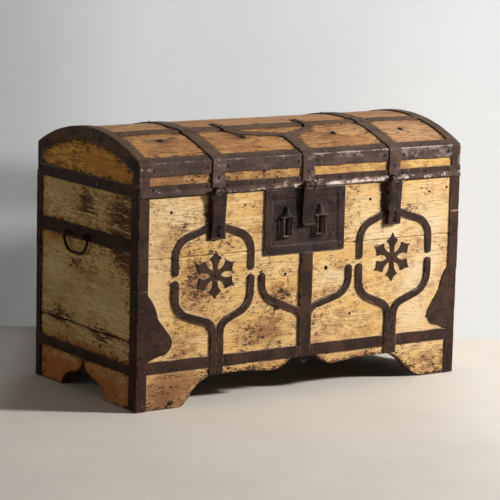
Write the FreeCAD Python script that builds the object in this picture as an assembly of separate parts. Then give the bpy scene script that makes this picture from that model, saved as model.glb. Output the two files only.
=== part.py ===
import FreeCAD, Part
import math
import os

# Iron-bound chest with a domed lid, in millimetres.
# +X runs along the front to the right, the front faces -Y and +Z is up.
# The origin is the middle of the footprint, on the floor.

# Carcass boards
case_width = 1192.0
case_depth = 592.0
rim_height = 637.0
board = 28.0
rabbet = 12.0
front_joint = 455.0
end_joint = 205.0
floor_level = 128.0
floor_thick = 22.0
groove = 8.0
groove_clearance = 0.5

# Feet and aprons, measured in from the outer corner or out from the middle
foot_width = 151.0
right_foot_width = 118.0
foot_waist = 186.0
waist_height = 35.0
apron_start = 266.0
apron_height = 87.0
pendant_shoulder = 200.0
pendant_offset = 100.0
pendant_height = 77.0
arch_half = 42.0
arch_top = 112.0
end_arch_shift = 14.0
end_arch_half = 131.0
end_shoulder_half = 62.0
end_shoulder_height = 50.0
end_apex = 94.0
foot_toe_bow = 5.0
foot_waist_bow = 9.0
pendant_bow = 2.0
arch_bow = 3.0
end_toe_bow = 13.0
end_ogee_bow = 8.5
cut_over = 5.0

# Flat irons
iron = 4.0
bar_iron = 6.0
corner_front_leg = 36.0
corner_end_leg = 45.0
corner_back_leg = 36.0
corner_rear_end_leg = 23.0
corner_floor_gap = 2.0
leaf_top = 350.0
leaf_shoulder = 278.0
leaf_shoulder_reach = 72.0
leaf_cheek = 232.0
leaf_cheek_reach = 108.0
leaf_lobe = 168.0
leaf_lobe_reach = 102.0
leaf_root = 148.0
leaf_neck_bow = 6.0
leaf_lobe_bow = 18.0
leaf_root_bow = 3.0
lower_strap = 36.0
lower_strap_level = 112.0
end_strap = 31.0
end_strap_level = 105.0
mid_strap = 43.0
mid_strap_level = 470.0

# Places along the front as shares of the case width, from the middle: the ironwork is not symmetrical
left_strap_share = -0.2735
centre_strap_share = 0.0017
right_strap_share = 0.2794
left_bar_share = -0.2668
right_bar_share = 0.2844
left_scroll_share = -0.2827
right_scroll_share = 0.2878
scroll_spread_share = 0.1137
left_rosette_share = -0.2735
right_rosette_share = 0.2852
anchor_share = 0.0055
anchor_left_share = -0.1334
anchor_right_share = 0.1443
lid_branch_left_share = -0.1577
lid_branch_right_share = 0.099
lock_share = -0.0034
left_guard_share = -0.0629
right_guard_share = 0.0424
loop_share = 0.0117

# Strapwork of the front
split_bar = 46.0
branch = 25.0
scroll_foot = 88.0
scroll_crotch = 244.0
scroll_rise = 47.0
scroll_end = 374.0
crotch_radius = 38.0
shoulder_radius = 64.0
hasp_plate_width = 66.0
hasp_plate_low = 500.0
hasp_plate_high = 548.0
upper_start = 540.0
upper_drop = 40.0
upper_end = 411.0
anchor_tab = 68.0
anchor_crotch = 268.0
anchor_rise = 24.0
anchor_end = 375.0
anchor_radius = 35.0
anchor_shoulder_radius = 60.0
rosette_level = 393.0
rosette_hub = 19.0
rosette_tip = 77.0
rosette_barb_radius = 53.0
rosette_barb_half = 22.0
rosette_notch_radius = 61.0
rosette_notch_half = 11.5
rosette_neck_radius = 28.0
rosette_stem_half = 7.5
rosette_barb_bow = 3.0
rosette_tip_bow = 2.0
rosette_arms = 6

# Lock plate and its hooded key guards
lock_width = 300.0
lock_height = 200.0
lock_field = 3.0
lock_border = 27.0
lock_border_rise = 2.5
guard_width = 48.0
guard_peak_width = 12.0
guard_peak_drop = 49.0
guard_eave_drop = 85.0
guard_sill_drop = 146.0
guard_depth = 15.0
sill_thick = 5.0
guard_column = 4.0
column_spacing = 30.0

# Lid boards
lid_gap = 0.8
lid_side = 100.0
dome_rise = 75.0
stave = 22.0
stave_count = 3
stave_overcut = 1.2

# Lid irons
rim_iron = 36.0
lip_height = 15.0
lip_bulge = 4.0
arris_drop = 37.0
arris_top = 25.0
edge_top_leg = 35.0
edge_arch_leg = 42.0
edge_front_leg = 38.0
edge_back_leg = 28.0
long_strap_near = 90.0
long_strap_width = 31.0
lid_strap = 45.0
lid_strap_rise = 8.0
lid_strap_joggle = 6.0
lid_stem_end = 222.0
lid_fork = 186.0
lid_fork_rise = 42.0
lid_branch_end = 62.0
lid_branch = 23.0
lid_fork_radius = 32.0
lid_turn_radius = 36.0

# Rear hinges
hinge_barrel = 12.0
hinge_pin = 6.0
hinge_standoff = 16.0
leaf_plate = 5.0
leaf_plate_low = 470.0
knuckle = 16.0
knuckle_gap = 0.5
barrel_clearance = 1.4
running_clearance = 0.05

# Hasps
hasp_barrel = 8.0
hasp_pin = 3.0
hasp_standoff = 20.0
hasp_axis_rise = 10.0
hasp_thick = 5.0
hasp_end_width = 60.0
hasp_end_high = 547.0
hasp_end_low = 503.0
hasp_slot_width = 11.0
hasp_slot_height = 32.0
centre_hasp_drop = 117.0
centre_lip = 5.0
catch_width = 14.0
catch_height = 20.0
catch_depth = 8.0
catch_drop = 92.0
catch_clearance = 1.5
catch_mortise = 12.0
notch_clearance = 1.0

# Staples, drop handles and the small loop under the apron
staple_rod = 2.5
staple_reach = 12.0
staple_spacing = 22.0
staple_grip = 24.0
handle_shift = 45.0
handle_rise = 14.0
handle_span = 136.0
handle_drop = 55.0
handle_rod = 4.5
handle_standoff = 10.0
handle_bend = 9.0
handle_corner = 48.0
handle_knob = 6.3
eye_radius = 9.0
eye_width = 9.0
eye_play = 0.8
eye_shank = 4.0
loop_rod = 3.0
loop_span = 26.0
loop_drop = 21.0
loop_grip = 25.0
loop_depth = 9.0

# Nails
nail_head = 5.5
nail_rise = 1.8
nail_shank = 2.0
nail_length = 20.0
nail_inset = 14.0
nail_pitch = 80.0
sparse_pitch = 140.0

half_width = case_width / 2
half_depth = case_depth / 2
lid_bottom = rim_height + lid_gap
lid_arris = lid_bottom + lid_side
dome_radius = (half_depth**2 + dome_rise**2) / (2 * dome_rise)
dome_centre = lid_arris + dome_rise - dome_radius
rim_top = lid_bottom + rim_iron
hinge_y = half_depth + hinge_standoff
hinge_z = rim_height + lid_gap / 2
hasp_y = -half_depth - hasp_standoff
hasp_z = lid_bottom + hasp_axis_rise
handle_level = mid_strap_level + handle_rise
left_strap = left_strap_share * case_width
centre_strap = centre_strap_share * case_width
right_strap = right_strap_share * case_width
anchor_x = anchor_share * case_width
lock_x = lock_share * case_width
scroll_spread = scroll_spread_share * case_width

carcass = {}
lid = {}
movers = {}
os.makedirs("parts", exist_ok=True)


def vec(x, y, z):
    return FreeCAD.Vector(x, y, z)


def block(x0, x1, y0, y1, z0, z1):
    """Rectangular solid between two opposite corners, given in either order."""
    low = vec(min(x0, x1), min(y0, y1), min(z0, z1))
    return Part.makeBox(abs(x1 - x0), abs(y1 - y0), abs(z1 - z0), low)


def front_plane(u, v):
    return vec(u, -half_depth, v)


def end_plane(u, v):
    return vec(-half_width, u, v)


def plan_plane(u, v):
    return vec(u, v, dome_centre)


def mirror_x(shape):
    return shape.mirror(vec(0, 0, 0), vec(1, 0, 0))


def mirror_y(shape):
    return shape.mirror(vec(0, 0, 0), vec(0, 1, 0))


def union(shapes):
    return shapes[0].multiFuse(shapes[1:]).removeSplitter()


def outline_face(points, place):
    """Flat face whose corners are (u, v, sag): sag bows the edge to the next corner out to the left."""
    edges = []
    for near, far in zip(points, points[1:] + points[:1]):
        start = vec(near[0], near[1], 0)
        finish = vec(far[0], far[1], 0)
        run = finish - start
        if near[2] == 0:
            edges.append(Part.makeLine(place(start.x, start.y), place(finish.x, finish.y)))
            continue
        side = vec(-run.y, run.x, 0).normalize()
        middle = (start + finish) * 0.5 + side * near[2]
        arc = Part.Arc(place(start.x, start.y), place(middle.x, middle.y), place(finish.x, finish.y))
        edges.append(arc.toShape())
    return Part.Face(Part.Wire(edges))


def path_edges(path, radii, place, offset=0.0):
    """Edges of a path of straight runs and tangent arcs, shifted to the left by the offset."""
    points = [vec(u, v, 0) for u, v in path]
    edges = []
    last = None
    for index, point in enumerate(points):
        if index in (0, len(points) - 1):
            run = points[1] - points[0] if index == 0 else point - points[index - 1]
            side = vec(-run.y, run.x, 0).normalize()
            corners = [point + side * offset]
        else:
            run_in = (point - points[index - 1]).normalize()
            run_out = (points[index + 1] - point).normalize()
            turn = 1.0 if run_in.x * run_out.y > run_in.y * run_out.x else -1.0
            radius = radii[index - 1]
            tangent = radius * math.tan(run_in.getAngle(run_out) / 2)
            entry = point - run_in * tangent
            leave = point + run_out * tangent
            centre = entry + vec(-run_in.y, run_in.x, 0) * (turn * radius)
            scale = (radius - turn * offset) / radius
            bend = (point - centre).normalize() * radius
            corners = [centre + (spot - centre) * scale for spot in (entry, centre + bend, leave)]
        spots = [place(corner.x, corner.y) for corner in corners]
        if last is not None and last.distanceToPoint(spots[0]) > 0.001:
            edges.append(Part.makeLine(last, spots[0]))
        if len(spots) == 3:
            edges.append(Part.Arc(*spots).toShape())
        last = spots[-1]
    return edges


def band_face(path, radii, width, place):
    """Flat bar of even width along a path, square where it starts and round where it ends."""
    left = path_edges(path, radii, place, width / 2)
    right = path_edges(path, radii, place, -width / 2)
    run = vec(path[-1][0] - path[-2][0], path[-1][1] - path[-2][1], 0).normalize()
    tip = vec(path[-1][0], path[-1][1], 0) + run * (width / 2)
    left_end = left[-1].lastVertex().Point
    right_end = right[-1].lastVertex().Point
    cap = Part.Arc(left_end, place(tip.x, tip.y), right_end).toShape()
    butt = Part.makeLine(left[0].firstVertex().Point, right[0].firstVertex().Point)
    return Part.Face(Part.Wire(Part.__sortEdges__(left + right + [cap, butt])))


def bent_rod(path, radii, radius, place):
    """Round rod bent along a path of straight runs and tangent arcs."""
    wire = Part.Wire(path_edges(path, radii, place))
    start = place(*path[0])
    heading = place(*path[1]) - start
    section = Part.Wire(Part.makeCircle(radius, start, heading))
    return wire.makePipeShell([section], True, False)


def arch_prism(x0, x1, front, back, radius, bottom):
    """Solid under the dome's arc of the given radius, between an upright front and back plane."""
    front_z = dome_centre + math.sqrt(radius**2 - front**2)
    back_z = dome_centre + math.sqrt(radius**2 - back**2)
    arc = Part.Arc(vec(x0, front, front_z), vec(x0, 0, dome_centre + radius), vec(x0, back, back_z))
    sides = [
        Part.makeLine(vec(x0, back, bottom), vec(x0, front, bottom)),
        Part.makeLine(vec(x0, front, bottom), vec(x0, front, front_z)),
        arc.toShape(),
        Part.makeLine(vec(x0, back, back_z), vec(x0, back, bottom)),
    ]
    return Part.Face(Part.Wire(sides)).extrude(vec(x1 - x0, 0, 0))


def lid_shell(x0, x1, thick, bottom):
    """Skin of the given thickness over the lid's front, dome and back, between two X planes."""
    outer = arch_prism(x0, x1, -half_depth - thick, half_depth + thick, dome_radius + thick, bottom)
    inner = arch_prism(x0, x1, -half_depth, half_depth, dome_radius, bottom)
    return outer.cut(inner)


def cylinder_x(x0, x1, y, z, radius):
    return Part.makeCylinder(radius, x1 - x0, vec(x0, y, z), vec(1, 0, 0))


def apron_half(half_run, toe):
    """Space under half a front board, from the middle of the arch out to a foot of the given width."""
    outline = [
        (0, -cut_over, 0),
        (half_run - toe, -cut_over, 0),
        (half_run - toe, 0, foot_toe_bow),
        (half_run - foot_waist, waist_height, -foot_waist_bow),
        (half_run - apron_start, apron_height, 0),
        (pendant_shoulder, apron_height, pendant_bow),
        (pendant_offset, pendant_height, arch_bow),
        (arch_half, arch_top, 0),
        (0, arch_top, 0),
    ]
    return outline_face(outline, front_plane).extrude(vec(0, board, 0))


def apron_cut():
    """Space under a front board: feet, pendants and an arch about the anchor's line."""
    right = apron_half(half_width - anchor_x, right_foot_width)
    left = mirror_x(apron_half(half_width + anchor_x, foot_width))
    space = right.fuse(left)
    space.translate(vec(anchor_x, 0, 0))
    return space


def end_arch_cut():
    """Space under the left end: an ogee arch with its point a little behind the middle."""
    outline = [
        (0, -cut_over, 0),
        (end_arch_half, -cut_over, 0),
        (end_arch_half, 0, -end_toe_bow),
        (end_shoulder_half, end_shoulder_height, end_ogee_bow),
        (0, end_apex, 0),
    ]
    half = outline_face(outline, end_plane).extrude(vec(board, 0, 0))
    space = half.fuse(mirror_y(half))
    space.translate(vec(0, end_arch_shift, 0))
    return space


def end_rabbets(bottom, top):
    """Rebates across both ends of a front board, which take the edges of the end boards."""
    inner = -half_depth + board
    right = block(half_width - board, half_width, inner - rabbet, inner, bottom, top)
    return right.fuse(mirror_x(right))


# Carcass boards: planks rebated at the corners, with the floor let into grooves
floor_top = floor_level + floor_thick
groove_x = half_width - board + groove
groove_y = half_depth - board + groove
floor_groove = block(-groove_x, groove_x, -groove_y, groove_y, floor_level, floor_top)
front_slab = block(-half_width, half_width, -half_depth, -half_depth + board, 0, rim_height)
front_slab = front_slab.cut(end_rabbets(0, rim_height)).cut(apron_cut()).cut(floor_groove)
end_reach = half_depth - board + rabbet
end_slab = block(-half_width, -half_width + board, -end_reach, end_reach, 0, rim_height)
end_slab = end_slab.cut(end_arch_cut()).cut(floor_groove)
above_front_joint = block(-case_width, case_width, -case_depth, case_depth, front_joint, rim_height)
above_end_joint = block(-case_width, case_width, -case_depth, case_depth, end_joint, rim_height)
carcass["front_lower_board"] = front_slab.cut(above_front_joint)
carcass["front_upper_board"] = front_slab.common(above_front_joint)
carcass["back_lower_board"] = mirror_y(carcass["front_lower_board"])
carcass["back_upper_board"] = mirror_y(carcass["front_upper_board"])
carcass["left_end_lower_board"] = end_slab.cut(above_end_joint)
carcass["left_end_upper_board"] = end_slab.common(above_end_joint)
carcass["right_end_lower_board"] = mirror_x(carcass["left_end_lower_board"])
carcass["right_end_upper_board"] = mirror_x(carcass["left_end_upper_board"])
floor_x = groove_x - groove_clearance
floor_y = groove_y - groove_clearance
carcass["floor_front_board"] = block(-floor_x, floor_x, -floor_y, 0, floor_level, floor_top)
carcass["floor_back_board"] = block(-floor_x, floor_x, 0, floor_y, floor_level, floor_top)


def corner_angle(front, front_leg, end_leg):
    """Angle iron on a left upright edge, at the front (-1) or at the back (1)."""
    x0 = -half_width - iron
    y0 = front * (half_depth + iron)
    face_leg = block(x0, x0 + front_leg, y0, y0 - front * iron, corner_floor_gap, rim_height)
    end_face_leg = block(x0, x0 + iron, y0, y0 - front * end_leg, corner_floor_gap, rim_height)
    return [face_leg, end_face_leg]


def leaf_flare():
    """Leaf that swells out of the left front corner iron above the lower strap."""
    edge = -half_width - iron
    outline = [
        (edge + corner_front_leg, leaf_root, 0),
        (edge + corner_front_leg, leaf_top, leaf_neck_bow),
        (edge + leaf_shoulder_reach, leaf_shoulder, 0),
        (edge + leaf_cheek_reach, leaf_cheek, leaf_lobe_bow),
        (edge + leaf_lobe_reach, leaf_lobe, -leaf_root_bow),
    ]
    return outline_face(outline, front_plane).extrude(vec(0, -iron, 0))


# Corner irons
front_corner = union(corner_angle(-1, corner_front_leg, corner_end_leg) + [leaf_flare()])
back_corner = union(corner_angle(1, corner_back_leg, corner_rear_end_leg))
carcass["front_left_corner_iron"] = front_corner
carcass["front_right_corner_iron"] = mirror_x(front_corner)
carcass["back_left_corner_iron"] = back_corner
carcass["back_right_corner_iron"] = mirror_x(back_corner)

# Straps round the foot of the carcass and across the ends
strap_x = half_width + iron - corner_front_leg
strap_front = -half_depth - iron + corner_end_leg
strap_back = half_depth + iron - corner_rear_end_leg
strap_top = lower_strap_level + lower_strap
end_strap_top = end_strap_level + end_strap
mid_top = mid_strap_level + mid_strap
front_face = -half_depth
left_face = -half_width
carcass["front_lower_strap"] = block(
    -strap_x, strap_x, front_face - iron, front_face, lower_strap_level, strap_top
)
carcass["left_lower_strap"] = block(
    left_face - iron, left_face, strap_front, strap_back, end_strap_level, end_strap_top
)
carcass["left_mid_strap"] = block(
    left_face - iron, left_face, strap_front, strap_back, mid_strap_level, mid_top
)
carcass["right_lower_strap"] = mirror_x(carcass["left_lower_strap"])
carcass["right_mid_strap"] = mirror_x(carcass["left_mid_strap"])


def front_bar(face):
    return face.extrude(vec(0, -bar_iron, 0))


def lower_scroll(bar_x, middle):
    """Split bar about X = bar_x: its halves part at the crotch and turn up on both sides of the middle."""
    half = split_bar / 2
    solids = [block(bar_x - half, bar_x + half, front_face - bar_iron, front_face, scroll_foot, strap_top)]
    for side in (-1, 1):
        root = bar_x + side * (half - branch / 2)
        turn = middle + side * scroll_spread
        path = [
            (root, strap_top),
            (root, scroll_crotch),
            (turn, scroll_crotch + scroll_rise),
            (turn, scroll_end),
        ]
        solids.append(front_bar(band_face(path, [crotch_radius, shoulder_radius], branch, front_plane)))
    return union(solids)


def upper_scroll(plate_x, middle):
    """Hasp plate about X = plate_x with two branches that slope away and turn down."""
    half = hasp_plate_width / 2
    low = plate_x - half
    high = plate_x + half
    solids = [block(low, high, front_face - iron, front_face, hasp_plate_low, hasp_plate_high)]
    for side in (-1, 1):
        turn = middle + side * scroll_spread
        path = [
            (plate_x + side * (half - branch / 2), upper_start),
            (turn, upper_start - upper_drop),
            (turn, upper_end),
        ]
        face = band_face(path, [shoulder_radius], branch, front_plane)
        solids.append(face.extrude(vec(0, -iron, 0)))
    return union(solids)


def centre_anchor():
    """Centre bar from the lock plate down to a tab on the lower strap, with two branches."""
    half = split_bar / 2
    tab_half = anchor_tab / 2
    outer = front_face - bar_iron
    lock_bottom = rim_height - lock_height
    solids = [
        block(anchor_x - half, anchor_x + half, outer, front_face, lower_strap_level, lock_bottom),
        block(anchor_x - tab_half, anchor_x + tab_half, outer, front_face, lower_strap_level, strap_top),
    ]
    for side, turn in ((-1, anchor_left_share * case_width), (1, anchor_right_share * case_width)):
        root = anchor_x + side * (half - branch / 2)
        path = [
            (root, strap_top),
            (root, anchor_crotch),
            (turn, anchor_crotch + anchor_rise),
            (turn, anchor_end),
        ]
        face = band_face(path, [anchor_radius, anchor_shoulder_radius], branch, front_plane)
        solids.append(front_bar(face))
    return union(solids)


def rosette():
    """Star rosette about X = 0: slender arms with barbed, pointed heads."""
    half_arm = [
        (rosette_stem_half, 0, 0),
        (rosette_stem_half, rosette_neck_radius, rosette_barb_bow),
        (rosette_barb_half, rosette_barb_radius, 0),
        (rosette_notch_half, rosette_notch_radius, rosette_tip_bow),
        (0, rosette_tip, 0),
    ]
    centre = front_plane(0, rosette_level)
    solids = [Part.makeCylinder(rosette_hub, iron, centre, vec(0, -1, 0))]
    outline = half_arm + [(0, 0, 0)]
    half = outline_face(outline, front_plane).extrude(vec(0, -iron, 0))
    half.translate(vec(0, 0, rosette_level))
    arm = half.fuse(mirror_x(half))
    for index in range(rosette_arms):
        solids.append(arm.copy().rotate(centre, vec(0, 1, 0), index * 360.0 / rosette_arms))
    return union(solids)


def shifted(shape, x):
    copy = shape.copy()
    copy.translate(vec(x, 0, 0))
    return copy


# Strapwork on the front: bars are notched over the lower strap
left_bar = left_bar_share * case_width
right_bar = right_bar_share * case_width
left_middle = left_scroll_share * case_width
right_middle = right_scroll_share * case_width
left_star = left_rosette_share * case_width
right_star = right_rosette_share * case_width
strap = carcass["front_lower_strap"]
carcass["left_lower_scroll"] = lower_scroll(left_bar, left_middle).cut(strap)
carcass["right_lower_scroll"] = lower_scroll(right_bar, right_middle).cut(strap)
carcass["left_upper_scroll"] = upper_scroll(left_strap, left_middle)
carcass["right_upper_scroll"] = upper_scroll(right_strap, right_middle)
carcass["left_rosette"] = shifted(rosette(), left_star)
carcass["right_rosette"] = shifted(rosette(), right_star)
carcass["centre_anchor"] = centre_anchor().cut(strap)

# Lock plate: a field inside a raised border, slotted for the catch of the centre hasp
lock_low = rim_height - lock_height
lock_half = lock_width / 2
border_face = front_face - lock_field - lock_border_rise
field_face = front_face - lock_field
lock_plate = block(lock_x - lock_half, lock_x + lock_half, border_face, front_face, lock_low, rim_height)
lock_plate = lock_plate.cut(
    block(
        lock_x + lock_border - lock_half,
        lock_x + lock_half - lock_border,
        border_face,
        field_face,
        lock_low + lock_border,
        rim_height - lock_border,
    )
)
slot_half = catch_width / 2 + catch_clearance
catch_level = rim_height - catch_drop
catch_slot = block(
    centre_strap - slot_half,
    centre_strap + slot_half,
    border_face,
    front_face + catch_mortise,
    catch_level - catch_clearance,
    catch_level + catch_height + catch_clearance,
)
carcass["lock_plate"] = lock_plate.cut(catch_slot)
carcass["front_upper_board"] = carcass["front_upper_board"].cut(catch_slot)


def key_guard():
    """Key guard about X = 0: a sloping hood on two columns that stand on a sill."""
    eave = field_face - guard_depth
    guard_peak = rim_height - guard_peak_drop
    guard_eave = rim_height - guard_eave_drop
    guard_sill = rim_height - guard_sill_drop
    wide = guard_width / 2
    peak = guard_peak_width / 2
    ridge = [vec(-peak, field_face, guard_peak), vec(peak, field_face, guard_peak)]
    back = [vec(-wide, field_face, guard_eave), vec(wide, field_face, guard_eave)]
    front = [vec(-wide, eave, guard_eave), vec(wide, eave, guard_eave)]
    sides = [
        [ridge[0], ridge[1], back[1], back[0]],
        [ridge[1], ridge[0], front[0], front[1]],
        [back[0], back[1], front[1], front[0]],
        [ridge[0], back[0], front[0]],
        [ridge[1], front[1], back[1]],
    ]
    faces = [Part.Face(Part.makePolygon(corners + corners[:1])) for corners in sides]
    hood = Part.Solid(Part.Shell(faces))
    sill = block(-wide, wide, eave, field_face, guard_sill, guard_sill + sill_thick)
    solids = [hood, sill]
    for x in (-column_spacing / 2, column_spacing / 2):
        base = vec(x, eave + guard_column, guard_sill)
        solids.append(Part.makeCylinder(guard_column, guard_eave - guard_sill, base))
    return union(solids)


guard_places = (left_guard_share * case_width, right_guard_share * case_width)
carcass["key_guards"] = Part.makeCompound([shifted(key_guard(), x) for x in guard_places])

# Lid boards: rails and arched ends under three barrel staves
stave_inner = dome_radius - stave
under_staves = arch_prism(-half_width, half_width, -half_depth, half_depth, stave_inner, lid_bottom)
rail = block(-half_width, half_width, -half_depth, -half_depth + board, lid_bottom, lid_arris)
rail = rail.cut(end_rabbets(lid_bottom, lid_arris)).common(under_staves)
crown = dome_centre + dome_radius
lid_end = block(-half_width, -half_width + board, -end_reach, end_reach, lid_bottom, crown)
lid["lid_front_rail"] = rail
lid["lid_back_rail"] = mirror_y(rail)
lid["lid_left_end"] = lid_end.common(under_staves)
lid["lid_right_end"] = mirror_x(lid["lid_left_end"])
dome = arch_prism(-half_width, half_width, -half_depth, half_depth, dome_radius, lid_bottom)
dome = dome.cut(under_staves)
reach = 2 * dome_radius
spread = math.asin(half_depth / dome_radius)
for index, name in enumerate(("front_stave", "crown_stave", "back_stave")):
    corners = [vec(-half_width, 0, dome_centre)]
    for step in (index, index + 1):
        angle = spread * (2 * step / stave_count - 1)
        angle *= 1 if 0 < step < stave_count else stave_overcut
        corners.append(vec(-half_width, reach * math.sin(angle), dome_centre + reach * math.cos(angle)))
    wedge = Part.Face(Part.makePolygon(corners + corners[:1]))
    lid[name] = dome.common(wedge.extrude(vec(case_width, 0, 0)))


def rim_profile(place):
    """Section of a rim iron: a flat band with a half-round lip along its lower edge."""
    outline = [
        (0, lid_bottom, 0),
        (iron, lid_bottom, -lip_bulge),
        (iron, lid_bottom + lip_height, 0),
        (iron, rim_top, 0),
        (0, rim_top, 0),
    ]
    return outline_face(outline, place)


def front_section(u, v):
    return vec(-case_width, -half_depth - u, v)


def end_section(u, v):
    return vec(-half_width - u, -case_depth, v)


def mitre_prism(corners):
    """Upright prism over a plan outline, tall enough for the rim irons."""
    plan = Part.Face(Part.makePolygon([vec(x, y, lid_bottom) for x, y in corners + corners[:1]]))
    return plan.extrude(vec(0, 0, rim_iron))


# Rim irons round the front and ends of the lid, mitred at the front corners
strap_places = (left_strap, centre_strap, right_strap)
mitre = iron + lip_bulge + cut_over
front_mitre = mitre_prism(
    [
        (-half_width, -half_depth),
        (half_width, -half_depth),
        (half_width + mitre, -half_depth - mitre),
        (-half_width - mitre, -half_depth - mitre),
    ]
)
end_mitre = mitre_prism(
    [
        (-half_width, -half_depth),
        (-half_width - mitre, -half_depth - mitre),
        (-half_width - mitre, half_depth),
        (-half_width, half_depth),
    ]
)
front_rim = rim_profile(front_section).extrude(vec(2 * case_width, 0, 0)).common(front_mitre)
end_rim = rim_profile(end_section).extrude(vec(0, 2 * case_depth, 0)).common(end_mitre)
lip_top = lid_bottom + lip_height + notch_clearance
for x in strap_places:
    notch = lid_strap / 2 + notch_clearance
    front_rim = front_rim.cut(
        block(x - notch, x + notch, front_face - mitre, front_face - iron, lid_bottom, lip_top)
    )
lid["lid_front_rim"] = front_rim
lid["lid_left_rim"] = end_rim
lid["lid_right_rim"] = mirror_x(end_rim)

# Edge irons: angles bent round the outline of each lid end
edge_x = half_width + iron
edge_skin = lid_shell(-edge_x, edge_top_leg - edge_x, iron, rim_top)
end_leaf = arch_prism(
    -edge_x, -half_width, -half_depth - iron, half_depth + iron, dome_radius + iron, rim_top
)
window = arch_prism(
    -edge_x,
    -half_width,
    edge_front_leg - half_depth - iron,
    half_depth + iron - edge_back_leg,
    dome_radius + iron - edge_arch_leg,
    rim_top,
)
lid["lid_left_edge_iron"] = union([edge_skin, end_leaf.cut(window)])
lid["lid_right_edge_iron"] = mirror_x(lid["lid_left_edge_iron"])

# Arris irons over the front and back edges of the dome, and the long strap before the crown
band_x = edge_x - edge_top_leg
skin = lid_shell(-band_x, band_x, iron, lid_bottom)
arris_low = lid_arris - arris_drop
above = crown + lid_strap_rise + cut_over
arris_zone = block(
    -band_x, band_x, -half_depth - iron, arris_top - half_depth, arris_low, above
)
lid["lid_front_arris"] = skin.common(arris_zone)
lid["lid_back_arris"] = mirror_y(lid["lid_front_arris"])
long_far = long_strap_near + long_strap_width
lid["lid_long_strap"] = skin.common(block(-band_x, band_x, -long_far, -long_strap_near, lid_arris, above))


def strap_knuckle(x, y, z, barrel, pin, foot_y, foot_z):
    """Middle knuckle of a lid strap about X = x, tied to the strap's foot."""
    x0 = x - knuckle / 2
    x1 = x + knuckle / 2
    barrel_solid = cylinder_x(x0, x1, y, z, barrel)
    tie = block(x0, x1, y, foot_y, z, z + barrel)
    tongue = block(x0, x1, foot_y, foot_y - math.copysign(lid_strap_rise - iron, foot_y), z, foot_z)
    return [barrel_solid, tie, tongue], cylinder_x(x0, x1, y, z, pin)


def strap_skin(x0, x1, bottom):
    """Skin of a lid strap: one iron thick, and raised where it rides over the bands."""
    thick = lid_shell(x0, x1, lid_strap_rise, bottom)
    edge_far = half_depth - arris_top - lid_strap_joggle
    outside = half_depth + lid_strap_rise
    rides = [
        (-outside, -edge_far),
        (-long_far - lid_strap_joggle, lid_strap_joggle - long_strap_near),
        (edge_far, outside),
    ]
    skins = [lid_shell(x0, x1, iron, bottom)]
    for near, far in rides:
        skins.append(thick.common(block(x0, x1, near, far, bottom, above)))
    return union(skins)


def lid_strap_solid(x):
    """Strap over the whole lid about X = x, with its hasp knuckle in front and its hinge knuckle behind."""
    x0 = x - lid_strap / 2
    x1 = x + lid_strap / 2
    front_foot = hasp_z + hasp_barrel + barrel_clearance
    back_foot = hinge_z + hinge_barrel + barrel_clearance
    skin = strap_skin(x0, x1, min(front_foot, back_foot))
    skin = skin.cut(block(x0, x1, -half_depth - lid_strap_rise, 0, lid_bottom, front_foot))
    skin = skin.cut(block(x0, x1, 0, half_depth + lid_strap_rise, lid_bottom, back_foot))
    front_y = -half_depth - lid_strap_rise
    back_y = half_depth + lid_strap_rise
    front, front_hole = strap_knuckle(x, hasp_y, hasp_z, hasp_barrel, hasp_pin, front_y, front_foot)
    back, back_hole = strap_knuckle(
        x, hinge_y, hinge_z, hinge_barrel, hinge_pin + running_clearance, back_y, back_foot
    )
    return union([skin] + front + back).cut(front_hole).cut(back_hole)


def centre_strap_solid():
    """Centre strap: up the front and over the arris, then two branches to stubs past the long strap."""
    half = lid_strap / 2
    x0 = centre_strap - half
    x1 = centre_strap + half
    foot = hasp_z + hasp_barrel + barrel_clearance
    skin = strap_skin(x0, x1, foot).cut(block(x0, x1, -lid_stem_end, case_depth, lid_bottom, above))
    front_y = -half_depth - lid_strap_rise
    front, hole = strap_knuckle(centre_strap, hasp_y, hasp_z, hasp_barrel, hasp_pin, front_y, foot)
    dome_skin = strap_skin(-half_width, half_width, lid_bottom)
    solids = [skin] + front
    for side, turn in ((-1, branch_left), (1, branch_right)):
        root = centre_strap + side * (half - lid_branch / 2)
        path = [
            (root, -lid_stem_end),
            (root, -lid_fork),
            (turn, lid_fork_rise - lid_fork),
            (turn, -lid_branch_end),
        ]
        face = band_face(path, [lid_fork_radius, lid_turn_radius], lid_branch, plan_plane)
        solids.append(face.extrude(vec(0, 0, dome_radius + lid_strap_rise)).common(dome_skin))
    return union(solids).cut(hole)


# Lid straps, notched over the bands that they cross
branch_left = lid_branch_left_share * case_width
branch_right = lid_branch_right_share * case_width
bands = Part.makeCompound(
    [lid[name] for name in ("lid_front_rim", "lid_front_arris", "lid_back_arris", "lid_long_strap")]
)
lid["left_cross_strap"] = lid_strap_solid(left_strap).cut(bands)
lid["right_cross_strap"] = lid_strap_solid(right_strap).cut(bands)
lid["centre_strap"] = centre_strap_solid().cut(bands)
pins = [cylinder_x(x - lid_strap / 2, x + lid_strap / 2, hasp_y, hasp_z, hasp_pin) for x in strap_places]
lid["hasp_pins"] = Part.makeCompound(pins)


def outer_knuckles(x, width, y, z, barrel):
    """The two outer knuckles of a hinge about X = x, with a gap to the middle one."""
    inner = knuckle / 2 + knuckle_gap
    left = cylinder_x(x - width / 2, x - inner, y, z, barrel)
    right = cylinder_x(x + inner, x + width / 2, y, z, barrel)
    return [left, right]


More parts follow.
